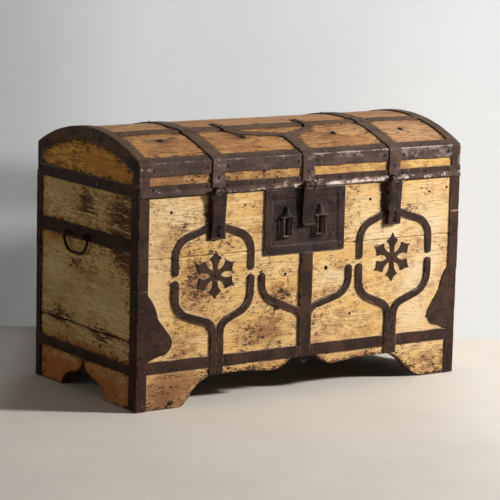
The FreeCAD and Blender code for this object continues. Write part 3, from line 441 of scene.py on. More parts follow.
def angle_section(first, second, rise, corner):
    """Section of an angle iron from the free edge of its first leg round the bend to that of the second, as
    heights over the two faces. Each leg is its reach in from the corner and the places of points on its flat
    in shares of that. Free arrises are eased, and the bend is a quarter circle."""
    ease, bend = 0.0012, 0.0028
    legs = []
    for reach, shares in (first, second):
        reach = reach + 0 * rise
        margin = np.minimum(0.2 * reach, ease * np.array([0, 0, 0.3, 1, 2.5]))
        inward = np.hstack([reach - margin, reach * np.array(shares)])
        height = rise - ease * np.hstack([[0, 1, 0.3], np.zeros(2 + len(shares))])
        height[:, 0] = 0
        legs.append((height, corner - inward))
    turn = np.linspace(0, np.pi / 2, 5)
    over_first = [legs[0][0], rise - bend * (1 - np.cos(turn)), legs[1][1][:, ::-1], 0 * rise]
    over_second = [legs[0][1], rise - bend * (1 - np.sin(turn)), legs[1][0][:, ::-1], 0 * rise]
    return np.hstack(over_first), np.hstack(over_second)


def corner_iron(hand, end, drawn, end_leg, laps):
    """Skin of an angle iron carried up an edge, with one leg on the end and one on the front or back. Each
    lap (level, rise) thickens what is above it."""
    low = 0.002
    marks = [low + 0.0004, low + 0.0014, rim_level - 0.0014, rim_level - 0.0004]
    marks += [lap + near for lap, _ in laps for near in (-0.0004, 0.0004)]
    even = np.linspace(low, rim_level, 160)
    level = np.unique(np.hstack([even, marks, np.linspace(0.146, 0.172, 24)]))[:, None]
    rise = iron + sum(thick * (level > lap) for lap, thick in laps)
    rise = rise - 0.001 * (np.minimum(level - low, rim_level - level) < 0.0003)
    leg = leaf_reach(level, drawn)
    x, y = angle_section((end_leg, (0.6, 0.3)), (leg, (0.85, 0.7, 0.5, 0.3, 0.12)), rise, rise)
    place = np.stack([hand * (half_width + x), end * (half_depth + y), level + 0 * x], axis=-1)
    place = place + (0.0003 * uneven(place, 0.05, 2.2))[..., None] * np.array([hand, end, 0.0])
    wear = np.array([0.6, 1, 1, 0.8, 0.1, 0, 0, 0.5, 1, 1, 1, 0.5, 0, 0, 0, 0, 0, 0.1, 0.8, 1, 1, 0.6, 0])
    lapped = sum(np.exp(-(((level - lap) / 0.003) ** 2)) for lap, _ in laps)
    shell = closed(place, np.maximum(wear, lapped))
    shell["foot"] = np.vstack([place[::2, 0], place[::2, -2]])
    return shell


for name, hand, end, drawn, end_leg, laps in (
        ("front_left", -1, -1, 1.0, 0.045, [(0.362, 0.0009)]),
        ("front_right", 1, -1, 0.85, 0.045, [(0.338, 0.0009), (0.527, -0.0007)]),
        ("back_left", -1, 1, 0.0, 0.023, [(0.4, 0.0008)]),
        ("back_right", 1, 1, 0.0, 0.023, [(0.43, 0.0008)])):
    bind(name + "_angle", [corner_iron(hand, end, drawn, end_leg, laps)], name + "_corner_iron")

# Straps of the carcass
# Flat bar nailed across the foot of the front and across the ends, where the upper one carries the handle.
# Their edges are uneven from the hammer.


def ragged(path, low, high, seed, amount=0.0008):
    """Edges of a hammered bar: both wander by a small amount along the path."""
    run = np.pad(path, ((0, 0), (0, 1)))
    return low + amount * uneven(run, 0.09, seed), high + amount * uneven(run, 0.11, seed + 2)


def strap(face, start, end, low, high, thick, seed, at=0.0, up=False, **more):
    """Straight flat bar between two edges."""
    path, side = course(straight(start, end), at, up)
    return forged(face, path, side, *ragged(path, low, high, seed), thick, **more)


bind("front_foot_strap", [strap(front, -0.564, 0.564, strap_low, strap_high, iron, 1.0)], "front_lower_strap")
for hand, face in ends:
    foot_strap = strap(face, -0.255, 0.277, 0.105, 0.136, iron, 2.0)
    grip_strap = strap(face, -0.255, 0.277, 0.47, 0.513, iron, 3.0)
    bind(hand + "_foot_strap", [foot_strap], hand + "_lower_strap")
    bind(hand + "_grip_strap", [grip_strap], hand + "_mid_strap")

# Scrolls and anchor
# Bars split with a chisel and opened hot: two lower scrolls, two upper ones that hang from a hasp plate, and
# the anchor below the lock, lapped from two lengths. Their ends are rounded and held by one nail each.
bar_iron = 0.006
bar_ease = 0.0024
spread = 0.1355
left_hasp_x, centre_x, right_hasp_x = -0.326, 0.00203, 0.33304


def bent(corners, radii, tip, step=0.005):
    """Path of straight runs joined by tangent arcs, with the direction to its left, and the distance left to
    its end, which lies half a tip beyond the last corner. Stations are close together at the ends. Its
    places are complex numbers, so that a turn is a product."""
    corners = np.array([complex(u, v) for u, v in corners])
    last = corners[-1] - corners[-2]
    corners[-1] += last / abs(last) * tip / 2
    line = [corners[:1]]
    for before, corner, after, radius in zip(corners, corners[1:], corners[2:], radii):
        run_in = (corner - before) / abs(corner - before)
        turn = np.angle((after - corner) / run_in)
        entry = corner - run_in * radius * math.tan(abs(turn) / 2)
        centre = entry + 1j * run_in * math.copysign(radius, turn)
        line.append(centre + (entry - centre) * np.exp(1j * np.linspace(0, turn, 14)))
    line = np.hstack(line + [corners[-1:]])
    travel = np.hstack([[0], np.cumsum(np.abs(np.diff(line)))])
    length = travel[-1]
    cap = length - tip / 2 * (1 - np.cos(np.linspace(0, np.pi / 2, 8)))
    run = np.unique(np.hstack([np.arange(0, length - tip / 2, step), [0.0004, 0.0012], cap, [length]]))
    path = np.interp(run, travel, line)
    ahead = np.gradient(path, run)
    path, side = (np.stack([way.real, way.imag], axis=1) for way in (path, 1j * ahead / np.abs(ahead)))
    return path, side, length - run


def round_end(left_over, half):
    """Half width of a bar that ends in a half circle, by the distance left to its end."""
    return half * np.sqrt(np.clip(1 - (1 - np.clip(left_over / half, 0, 1)) ** 2, 0.003, 1))


def split_bar(corners, radii, width, thick, seed):
    """Bent flat bar of even width, square where it starts and rounded where it ends."""
    path, side, left_over = bent(corners, radii, width)
    half = round_end(left_over, width / 2)
    low, high = ragged(path, -half, half, seed, 0.0007)
    return forged(front, path, side, np.minimum(low, -0.0006), np.maximum(high, 0.0006), thick, ease=bar_ease)


def stem(x, half, low, high, thick, seed):
    """Upright flat bar about x."""
    return strap(front, low, high, -half, half, thick, seed, x, True, ease=bar_ease)


for hand, bar_x, middle, plate_x in (
        ("left", -0.318, -0.334, left_hasp_x), ("right", 0.339, 0.346, right_hasp_x)):
    lower = []
    upper = [stem(plate_x, 0.033, 0.5, 0.548, iron + 0.0003, 5.0)]
    for way in (-1, 1):
        turn = middle + way * spread
        root = bar_x + way * 0.0117
        corners = [(root, 0.088), (root, 0.243), (turn, 0.291), (turn, 0.374)]
        lower.append(split_bar(corners, [0.042, 0.064], 0.0243, bar_iron, 6.0 + way))
        corners = [(plate_x + way * 0.0205, 0.54), (turn, 0.5), (turn, 0.411)]
        upper.append(split_bar(corners, [0.064], 0.025, iron, 8.0 + way))
    bind(hand + "_split_scroll", lower, hand + "_lower_scroll")
    bind(hand + "_hanging_scroll", upper, hand + "_upper_scroll")
anchor = [
    stem(anchor_x, 0.023, strap_low, 0.437, bar_iron + 0.0003, 10.0),
    stem(anchor_x, 0.0228, 0.302, 0.436, bar_iron + 0.0012, 10.0),
    stem(anchor_x, 0.034, strap_low, strap_high, bar_iron - 0.0003, 11.0)]
for way, turn, fork_level, bend_level in ((-1, -0.157, 0.252, 0.313), (1, 0.171, 0.261, 0.305)):
    root = anchor_x + way * 0.0105
    corners = [(root, 0.19), (root, fork_level), (turn, bend_level), (turn, 0.375)]
    anchor.append(split_bar(corners, [0.042, 0.06], 0.0225, bar_iron, 12.0 + way))
bind("anchor", anchor, "centre_anchor")

# Rosettes
# Six-armed stars cut from sheet iron, each arm with a barbed, pointed head, held by a nail through the hub.


def disc(face, x, level, radius, thick):
    """Round plate: stations along u, its edges on the circle."""
    sweep = -0.9995 * radius * np.cos(np.linspace(0, np.pi, 22))
    reach = np.sqrt(radius**2 - sweep**2)
    return forged(face, *course(x + sweep, level), -reach, reach, thick, ease=0.0015, rows=6)


def star(x, level, tall):
    """Arms of a star as flat bars whose half width follows the outline of the barb, and a round hub."""
    half, out = bowed([
        (0.0075, 0.0, 0), (0.0075, 0.028, 0.003), (0.022, 0.053, 0), (0.0115, 0.061, 0.002),
        (0.0006, 0.077, 0)], 0.0015).T
    arms = []
    for k in range(6):
        ahead = np.array([math.sin(k * math.pi / 3), math.cos(k * math.pi / 3)])
        path = np.array([x, level]) + out[:, None] * ahead * np.array([1.03, tall])
        side = np.tile([-ahead[1], ahead[0]], (len(path), 1))
        arms.append(forged(front, path, side, -half, half, 0.0028 + 0.0001 * k, rows=4))
    return arms + [disc(front, x, level, 0.0185, 0.0036)]


for hand, x, level, tall in (("left", -0.326, 0.393, 0.95), ("right", 0.33996, 0.396, 1.0)):
    bind(hand + "_star", star(x, level, tall), hand + "_rosette")

# Lock plate
# A square of sheet iron with a raised border beaten up round its field and a slot for the catch, nailed over
# the joint of the front boards. Its two key guards are hoods on thin columns, and a near-black sheet in each
# stands for the shade in its opening.
lock_x = -0.00405
lock_half = 0.15
guard_foot = 0.0025
guard_low, eave_level, hood_top = 0.491, 0.552, 0.584


def lock_relief(u, v):
    """Border 2.5 mm above the field, with a rounded inner step, and a sunk slot for the catch."""
    inside = np.minimum(0.123 - np.abs(u - lock_x), np.minimum(v - 0.464, 0.61 - v))
    slot = np.minimum(0.0085 - np.abs(u - centre_x), 0.0115 - np.abs(v - 0.555))
    return 0.00125 * (1 - np.tanh(inside / 0.0012)) - 0.0024 * (slot > 0)


lock_iron = forged_iron(
    "lock_iron_old", (0.015, 0.009, 0.009), (0.064, 0.037, 0.033), (0.22, 0.165, 0.15), gloss=0.26, rub=0.1)
lock_run = straight(lock_x - lock_half, lock_x + lock_half, 0.003)
lock_plate = forged(front, *course(lock_run), 0.437, 0.637, 0.003, rows=70, relief=lock_relief)
put("lock_sheet", [lock_plate], "carcass", lock_iron, "lock_iron", "lock_plate")
carcass_irons.append(lock_plate)


def hood(x):
    """Roof of a key guard: it narrows upwards by a power of the rise, its ridge falls as a quarter ellipse,
    and its slopes drop from the ridge as parabolas."""
    run = straight(eave_level, hood_top, 0.003)
    rise = (run - eave_level) / (hood_top - eave_level)
    half = 0.005 + 0.02 * (1 - rise) ** 1.5
    ridge = 0.004 + 0.013 * np.sqrt(1 - rise**2)

    def slopes(u, v):
        return 0.8 * (0.0035 - ridge[:, None]) * ((u - x) / half[:, None]) ** 2

    return forged(front, *course(run, x, True), -half, half, ridge, guard_foot, rows=9, relief=slopes)


def ledge(x, half, low, high, thick):
    """Thin shelf of a key guard."""
    return forged(front, *course(straight(x - half, x + half, 0.004)), low, high, thick, guard_foot, 0.001)


def column(x, depth, low, high, radius):
    """Upright round rod, a little thicker at both ends: a circle carried up its height."""
    level = np.linspace(low, high, 14)[:, None]
    angle = np.linspace(0, 2 * np.pi, 13)[:-1]
    girth = radius * (0.85 + 0.3 * (2 * (level - low) / (high - low) - 1) ** 4)
    rod = [x + girth * np.cos(angle), depth + girth * np.sin(angle), level + 0 * angle]
    return closed(np.stack(rod, axis=-1), 0.75)


# Near-black iron: the own colour of the old nails, and painted shade in the key guards' openings.
black_iron_and_painted_shade = forged_iron(
    "hollow_iron_old", (0.01, 0.006, 0.005), (0.03, 0.014, 0.008), (0.05, 0.03, 0.02), gloss=0.5, rub=0.0)
guards = []
guard_shade_sheets = []
for x in (-0.075, 0.0505):
    guards += [hood(x), ledge(x, 0.0262, eave_level - 0.0015, eave_level + 0.0015, 0.0185)]
    guards.append(ledge(x, 0.022, guard_low, guard_low + 0.004, 0.0175))
    guards += [column(x + way * 0.0155, -0.3105, 0.494, eave_level, 0.003) for way in (-1, 1)]
    # A near-black sheet behind each guard's columns is painted shade in its opening.
    hollow_run = straight(0.496, eave_level)
    guard_shade_sheets.append(forged(front, *course(hollow_run, x, True), -0.021, 0.021, 0.0042, guard_foot))
put("key_columns", guards, "carcass", lock_iron, "lock_iron", "key_guards")
put("key_guard_painted_shade", guard_shade_sheets, "carcass", black_iron_and_painted_shade, "lock_iron")

# Fittings of the carcass
# Forged staples, eyes, hinge leaves and pins, a small hanging loop and rose-headed nails, all driven through
# the irons into the wood and clenched inside.
fitting_iron = forged_iron(
    "fitting_iron_old", (0.026, 0.0165, 0.013), (0.05, 0.029, 0.021), (0.16, 0.12, 0.1), gloss=0.34, rub=0.0)
staple_iron = forged_iron(
    "staple_iron_old", (0.05, 0.035, 0.03), (0.12, 0.08, 0.065), (0.62, 0.55, 0.5), gloss=0.26, rub=0.25)
finished(fitting_iron, "hinge_pins", "handle_eyes", "apron_loop", "hasp_pins", "lid_nails")
finished(strap_iron, "left_hinge_leaf", "right_hinge_leaf", "carcass_nails")
finished(staple_iron, "hasp_staples")

# Old nails of the boards
# Small hand-made nails that once held the boards to the ends and to the lock, hammered flush and gone black.
old_nails = [
    (-0.487, 0.592), (-0.225, 0.597), (-0.07, 0.375), (-0.155, 0.21), (0.247, 0.585), (0.48, 0.595),
    (0.083, 0.382), (0.18, 0.23), (0.55, 0.605), (-0.483, 0.016)]
old_nails = [disc(front, x, level, 0.0052 + 0.0014 * math.sin(90 * x), 0.0011) for x, level in old_nails]
put("old_nails", old_nails, "carcass", black_iron_and_painted_shade, "fitting_iron")

# Lid boards
# Front and back rails, two arched end boards and three staves that make the low dome, all softwood with the
# grain along the chest, oiled and rubbed to an orange brown. A row of nails holds the front stave.
lid_bottom = 0.6378
lid_arris = 0.7378
fold_run = lid_arris - lid_bottom
dome_rise = 0.075
stave = 0.022
dome_radius = (half_depth**2 + dome_rise**2) / (2 * dome_rise)
dome_centre = lid_arris + dome_rise - dome_radius
dome_spread = math.asin(half_depth / dome_radius)


def lid_profile():
    """Outside of the lid's wood from the front rim over the dome to the back rim: length run, place and
    outward direction, which turns smoothly at the two arrises."""
    angle = np.linspace(-dome_spread, dome_spread, 400)
    climb = np.linspace(lid_bottom, lid_arris, 101)[:-1]
    y = np.hstack([np.full(100, -half_depth), dome_radius * np.sin(angle), np.full(100, half_depth)])
    z = np.hstack([climb, dome_centre + dome_radius * np.cos(angle), climb[::-1]])
    run = np.hstack([[0], np.cumsum(np.hypot(np.diff(y), np.diff(z)))])
    even = np.linspace(0, run[-1], 1200)
    y, z = np.interp(even, run, y), np.interp(even, run, z)
    weight = np.hanning(15)
    padded = np.pad([np.gradient(y), np.gradient(z)], ((0, 0), (7, 7)), mode="edge")
    along = np.stack([np.convolve(row, weight / weight.sum(), mode="valid") for row in padded])
    along /= np.linalg.norm(along, axis=0)
    return even, y, z, -along[1], along[0]


lid_run = lid_profile()
lid_length = lid_run[0][-1]


def over(u, v):
    """Place and outward direction over the lid: u along the chest, v the length run from the front rim."""
    u, v = np.broadcast_arrays(u, v)
    y, z, out_y, out_z = (np.interp(v, lid_run[0], row) for row in lid_run[1:])
    out = np.stack([np.zeros(u.shape), out_y, out_z], axis=-1)
    return np.stack([u, y, z], axis=-1), out / np.linalg.norm(out, axis=-1)[..., None]


def run_at(y):
    """Length run over the lid at a depth y on the dome."""
    return fold_run + dome_radius * (math.asin(y / dome_radius) + dome_spread)


lid_wood = painted_plank(
    "lid_oiled", (0, 1, 1), (0.68, 0.37, 0.13), (0.53, 0.25, 0.078), (0.34, 0.125, 0.037),
    (0.13, 0.042, 0.014), (0.045, 0.018, 0.008), worn=-0.03, lines=0.9, thick=0.5)
rail_wood = painted_plank(
    "lid_rail_yellow", (0, 1, 1), (0.82, 0.55, 0.19), (0.7, 0.4, 0.11), (0.5, 0.23, 0.05),
    (0.28, 0.11, 0.03), (0.05, 0.02, 0.009), worn=0.0, lines=0.5, thick=0.2)
lid_end_wood = painted_plank(
    "lid_end_oiled", (1, 0, 1), (0.88, 0.52, 0.08), (0.7, 0.29, 0.04), (0.4, 0.15, 0.03),
    (0.24, 0.085, 0.02), (0.06, 0.026, 0.009), worn=0.0, lines=0.7, thick=0.5, scratch=0.5)
lid_boards = []


def lid_board(name, node, finish, face, run, low, high, base, *more):
    """Plank of the lid between its lower and upper edge."""
    skin = forged(face, *course(run), low, high, 0.0, base, 0.002, *more)
    lid_boards.append(put(name, [skin], "lid", finish, "lid_wood", node))


long_run = straight(-half_width, half_width)
arch_run = straight(-end_half, end_half)
arch_top = dome_centre + np.sqrt((dome_radius - stave) ** 2 - arch_run**2)
stave_run = dome_radius * dome_spread * 2 / 3
for k, name in enumerate(("front_stave", "crown_stave", "back_stave")):
    low, high = fold_run + k * stave_run + 0.0005, fold_run + (k + 1) * stave_run - 0.0005
    lid_board(name + "_plank", name, lid_wood, over, long_run, low, high, -stave, 36, 0.0006, 0.28)
for name, face, finish in (("lid_front_rail", front, rail_wood), ("lid_back_rail", back, lid_wood)):
    lid_board(name + "_plank", name, finish, face, long_run, lid_bottom, 0.722, -plank, 14, 0.0004, 0.28)
for hand, face in ends:
    name, node = f"lid_{hand}_arch_plank", f"lid_{hand}_end"
    lid_board(name, node, lid_end_wood, face, arch_run, lid_bottom, arch_top, -plank, 20, 0.0005, 0.2)
stave_nails = [(-0.454, -0.175), (-0.162, -0.183), (0.173, -0.19), (0.437, -0.19)]
stave_nails = [disc(over, x, run_at(y), 0.0078, 0.0022) for x, y in stave_nails]
put("stave_nails", stave_nails, "lid", black_iron_and_painted_shade, "fitting_iron")

# Lid bands
# Forged bands nailed round the lid: a rim with a half-round lip along its foot, arris bands folded over the
# front and back edges of the dome, and one long strap before the crown.
rim_top = 0.6738
band_end = 0.565
band_low = 0.063
band_depth = 0.271
strap_places = (left_hasp_x, centre_x, right_hasp_x)
lid_iron = forged_iron(
    "lid_iron_old", (0.036, 0.021, 0.017), (0.082, 0.044, 0.031), (0.35, 0.29, 0.265),
    gloss=0.27, rub=0.17, dust=0.7)
band_iron = forged_iron(
    "band_iron_old", (0.056, 0.036, 0.031), (0.12, 0.075, 0.062), (0.24, 0.197, 0.18),
    gloss=0.32, rub=0.16, dust=0.7)
lid_irons = []


def bind_lid(name, shells, finish, node):
    """Iron on the lid. The dirt follows the edges of all but its knuckles later."""
    put(name, shells, "lid", finish, "lid_iron", node)
    lid_irons.extend(shell for shell in shells if "foot" in shell)


def lip(u, v):
    """Drip edge over the lowest 19 mm of a rim band: it flares out downwards and rounds in at its foot."""
    above = v - lid_bottom
    flare = np.clip((0.019 - above) / 0.015, 0, 1)
    return iron * flare * np.sqrt(np.clip(1 - np.clip(1 - above / 0.004, 0, 1) ** 2, 0.05, 1))


def front_lip(u, v):
    """The drip edge, cut away under the hasp straps."""
    return lip(u, v) * (np.min([np.abs(u - x) for x in strap_places], axis=0) > 0.0235)


def lip_wear_and_highlight(u, v):
    """The lip is rubbed bright, least on the left and the flat above it hardly. Right of the middle its
    brightness is a painted highlight of the lamp as well as wear.
    """
    along = 0.45 * np.clip((u + 0.36) / 0.08, 0.15, 1) + 0.27 * np.exp(-(((u - 0.17) / 0.15) ** 2))
    return np.clip((0.6615 - v) / 0.013, 0, 1) * along


def fold_wear(u, v):
    """The fold of an arris band is rubbed along a thin line, its upright flange in scuffs to the right."""
    line = 0.6 * np.clip((u + 0.9) / 1.1, 0.3, 1) * np.exp(-(((v - fold_run) / 0.0018) ** 2))
    return line + 0.42 * (v < fold_run) * np.clip((u + 0.2) / 0.5, 0, 1)


rim_rows = np.hstack([np.linspace(0, 0.4, 14), np.linspace(0.46, 1, 8)])
notches = np.add.outer(strap_places, [-0.0237, -0.0233, 0.0233, 0.0237]).reshape(-1)
rim_run = np.unique(np.hstack([straight(-0.6, 0.6), notches]))
front_rim = forged(
    front, *course(rim_run), lid_bottom, rim_top, iron, rows=rim_rows, relief=front_lip, rubbed=lip_wear_and_highlight)
bind_lid("front_rim_band", [front_rim], lid_iron, "lid_front_rim")
side_run = straight(-0.3, 0.296)
for hand, face in ends:
    side_rim = forged(face, *course(side_run), lid_bottom, rim_top, iron, rows=rim_rows, relief=lip)
    bind_lid(hand + "_rim_band", [side_rim], lid_iron, f"lid_{hand}_rim")
front_edge = run_at(-band_depth)
fold_share = (fold_run - band_low) / (front_edge - band_low)
arris_rows = np.unique(np.hstack([np.linspace(0, 1, 24), fold_share + np.linspace(-0.06, 0.06, 13)]))
for name, finish, low, high, seed, more in (
        ("front_arris", band_iron, band_low, front_edge, 14.0, {"rows": arris_rows, "rubbed": fold_wear}),
        ("back_arris", band_iron, run_at(band_depth), lid_length - band_low, 15.0, {"rows": 24}),
        ("long_strap", lid_iron, run_at(-0.121), run_at(-0.09), 16.0, {})):
    band = strap(over, -band_end, band_end, low, high, iron, seed, **more)
    bind_lid(name + "_band", [band], finish, "lid_" + name)

# Edge irons of the lid
# One angle iron bent round each end of the lid: a flange on the dome and a wider one on the end board, mitred
# where it turns at the two arrises.


def edge_iron(hand):
    """Skin of an angle carried over the lid. The flange on the dome has an even width, the one on the end is
    as deep as its run asks, and draws in to nothing at the mitres."""
    start = 0.036
    ends_in = start + np.array([0.0004, 0.0014])
    even = np.linspace(start, lid_length - start, 260)
    run = np.unique(np.hstack([even, ends_in, lid_length - ends_in]))[:, None]
    last_fold = lid_length - fold_run
    depth = np.where(run < fold_run, 0.034, np.where(run < last_fold, 0.038, 0.024))
    mitre = np.minimum(np.abs(run - fold_run), np.abs(run - last_fold))
    depth = np.minimum(depth, 0.0008 + 1.68 * mitre)
    up, out = angle_section((0.031, (20 / 31, 10 / 31)), (depth, (0.8, 0.5, 0.2)), iron + 0 * run, 0.0)
    place, away = over(np.zeros(up.shape), run + 0 * up)
    place = place + away * up[..., None]
    place[..., 0] = hand * (half_width + out)
    place = place + (0.0002 * (uneven(place, 0.05, 3.1) - 1.7))[..., None] * (away + np.array([hand, 0, 0]))
    wear = np.array([0.3, 0.4, 0.4, 0.3, 0.1, 0, 0, 0.5, 1, 1, 1, 0.5, 0, 0, 0, 0.1, 0.8, 1, 1, 0.6, 0])
    shell = closed(place, wear)
    shell["foot"] = np.vstack([place[::2, 0], place[::2, -2]])
    return shell


for way, hand in ((-1, "left"), (1, "right")):
    bind_lid(hand + "_edge_angle", [edge_iron(way)], lid_iron, f"lid_{hand}_edge_iron")

# Lid straps
# Three straps that hang the hasps: the outer two run over the whole lid to the hinges, the middle one splits
# in two past the front arris. They step up where they ride over the bands, and end in a rolled knuckle.
hasp_axis = (-0.316, 0.6478)
hinge_axis = (0.312, 0.6374)
hasp_half = 0.0225
hasp_roll = 0.008
hinge_roll = 0.012
foot_run = 0.0194


def ride_over(run):
    """Thickness of a lid strap by the length run: 3.6 mm, and 4 mm more over the bands with a short ramp."""
    band = np.maximum(run_at(-0.265) - run, run - run_at(0.265))
    bump = np.maximum(band, np.minimum(run - run_at(-0.127), run_at(-0.084) - run))
    return 0.0036 + 0.004 * np.clip(bump / 0.004 + 0.5, 0, 1)


def belt_wear(u, v):
    """A belt is rubbed a little, its arrises no more than its flat."""
    return 0.2 + 0 * u


def belt(x, end, seed, extra=0.0):
    """Strap from its knuckle up and over the lid to an end."""
    run = straight(foot_run, end, 0.004)
    path, side = course(run, x, True)
    edges = ragged(path, -hasp_half, hasp_half, seed)
    return forged(over, path, side, *edges, ride_over(run) + extra, rubbed=belt_wear)


def rolled(outline, start, end, ease=0.0008):
    """Skin of an outline in depth and height carried along the chest, drawn in a little at both ends."""
    outline = np.asarray(outline)
    spots = np.array([start, start + 0.3 * ease, start + ease, end - ease, end - 0.3 * ease, end])
    pull = np.array([1.0, 0.3, 0.0, 0.0, 0.3, 1.0])[:, None, None] * ease
    middle = outline.mean(axis=0)
    arm = outline - middle
    section = middle + arm * (1 - pull / np.linalg.norm(arm, axis=1)[:, None])
    across = np.broadcast_to(spots[:, None, None], section.shape[:2] + (1,))
    return closed(np.dstack([across, section]), 0.35)


def ring_of(axis, radius, count):
    """Points of a circle about an axis along the chest."""
    angle = np.linspace(0, 2 * np.pi, count + 1)[:-1]
    return np.stack([axis[0] + radius * np.cos(angle), axis[1] + radius * np.sin(angle)], axis=1)


def knuckle(axis, radius, start, end, foot):
    """Rolled knuckle: a round about its axis, drawn out to the two corners of its foot on strap or plate."""
    axis, foot = np.array(axis), np.array(foot)
    arm = ring_of(axis, radius, 24) - axis
    towards = foot.mean(axis=0) - axis
    arm = arm[arm @ towards < 0.35 * radius * np.linalg.norm(towards)]
    bearing = np.arctan2(arm[:, 1], arm[:, 0]) - np.arctan2(towards[1], towards[0])
    keep = axis + arm[np.argsort(np.mod(bearing, 2 * np.pi))]
    return rolled(np.vstack([keep, foot]), start, end)


def strap_roll(x, axis, radius, foot):
    """Middle knuckle of a hasp or hinge at the end of a strap."""
    return knuckle(axis, radius, x - 0.008, x + 0.008, foot)


hasp_foot = [(-0.3038, 0.6615), (-0.3002, 0.6615)]
hinge_foot = [(0.304, 0.6545), (0.3002, 0.6545)]
for hand, x in (("left", left_hasp_x), ("right", right_hasp_x)):
    front_roll = strap_roll(x, hasp_axis, hasp_roll, hasp_foot)
    back_roll = strap_roll(x, hinge_axis, hinge_roll, hinge_foot)
    whole = belt(x, lid_length - 0.013, 17.0 + x)
    bind_lid(hand + "_belt", [whole, front_roll, back_roll], band_iron, hand + "_cross_strap")
fork = [belt(centre_x, run_at(-0.176), 18.0, 0.0002)]
fork_half = 0.0115
for way, turn in ((-1, -0.188), (1, 0.118)):
    root = centre_x + way * 0.011
    corners = [(root, -0.21), (root, -0.186), (turn, -0.144), (turn, -0.062)]
    corners = [(x, run_at(y)) for x, y in corners]
    path, side, left_over = bent(corners, [0.032, 0.036], 2 * fork_half)
    half = round_end(left_over, fork_half)
    fork.append(forged(over, path, side, -half, half, ride_over(path[:, 1])))
fork.append(strap_roll(centre_x, hasp_axis, hasp_roll, hasp_foot))
bind_lid("fork_belt", fork, band_iron, "centre_strap")

# Hasps and handles
# Flat forged hasps that hang from the strap knuckles: the side ones end in a slotted square that drops over
# its staple. A bowed drop handle swings in two eyes on each end.
hasp_face = -0.3185
hasp_lean = 0.082
hasp_top = 0.6384
slot_low, slot_high = 0.509, 0.541
side_levels = [hasp_top, 0.565, slot_high, slot_low, 0.503]
side_hasp = (side_levels, [hasp_half, 0.0215, 0.023, 0.0235, 0.0235], (slot_low, slot_high))
centre_hasp = ([hasp_top, 0.524], [hasp_half, hasp_half], (0.0, 0.0))


def hasp_plate(hand, x, levels, halves, slot, lean):
    """Sheet of a hasp: rows at the given levels with their half widths, columns in shares of them, the cells
    of the slot left out. It leans in towards the front from its axis down. Solidify gives it 5 mm and Bevel
    softens its arrises."""
    share = np.array([-1, -0.93, -0.6, -0.2444, 0.2444, 0.6, 0.93, 1])
    spans = zip(levels, levels[1:])
    runs = [np.linspace(a, b, max(2, int((a - b) / 0.008)), endpoint=False) for a, b in spans]
    level = np.hstack(runs + [levels[-1:]])
    half = np.interp(-level, -np.array(levels), halves)
    grid = np.stack(np.broadcast_arrays(x + half[:, None] * share, hasp_face, level[:, None]), axis=-1)
    grid[..., 0] += 0.0006 * uneven(grid, 0.06, 4.0)
    grid[..., 1] += lean * (hasp_axis[1] - grid[..., 2])
    corner = np.arange(len(level) * 8).reshape(-1, 8)
    quads = np.stack([corner[:-1, :-1], corner[1:, :-1], corner[1:, 1:], corner[:-1, 1:]], axis=-1)
    open_row = (level[:-1] <= slot[1] + 1e-6) & (level[1:] >= slot[0] - 1e-6)
    keep = ~(open_row[:, None] & (np.arange(7) == 3))
    wear = np.ones(corner.shape)
    wear[1:-1, 1:-1] = 0
    made = piece(
        hand + "_hasp_sheet", grid.reshape(-1, 3), quads[keep].tolist(), wear.reshape(-1), lock_iron,
        hand + "_hasp")
    sheet = made.modifiers.new("sheet", "SOLIDIFY")
    sheet.thickness = 0.005
    sheet.offset = -1
    soft = made.modifiers.new("arrises", "BEVEL")
    soft.width = 0.0011
    soft.segments = 2


ears = [(hasp_face + 0.0003, rim_level), (hasp_face + 0.0047, rim_level)]
spans = ((-hasp_half, -0.0085), (0.0085, hasp_half))
for hand, x, lean, shape in (
        ("left", left_hasp_x, hasp_lean, side_hasp), ("right", right_hasp_x, 0.6 * hasp_lean, side_hasp),
        ("centre", centre_x, hasp_lean, centre_hasp)):
    hasp_plate(hand, x, *shape, lean)
    rolls = [knuckle(hasp_axis, hasp_roll, x + start, x + end, ears) for start, end in spans]
    put(hand + "_hasp_rolls", rolls, hand + "_hasp", lid_iron, "lock_iron", hand + "_hasp")
finger_lip = rolled(ring_of((-0.3085, 0.525), 0.005, 16), centre_x - hasp_half, centre_x + hasp_half)
catch = [(-0.306, 0.545), (-0.298, 0.546), (-0.298, 0.564), (-0.307, 0.565)]
catch = rolled(catch, centre_x - 0.007, centre_x + 0.007)
put("centre_hasp_lip", [finger_lip, catch], "centre_hasp", lock_iron, "lock_iron")
finished(fitting_iron, "left_handle", "right_handle")

# Old dirt, and painted light and shade
# Dirt and rust gather in the corner between wood and iron, and the paint is rubbed, stained or gone pale in
# places. The boards also darken towards their sawn lower edges. Some patches paint light and shade: shadows
# of the side hasps on the front, the lamp's sheen on its right half, and a lighter right and darker left on
# the dome. Every board keeps its own state: dirt, bleaching and ruddiness, which carry these painted marks
# too.


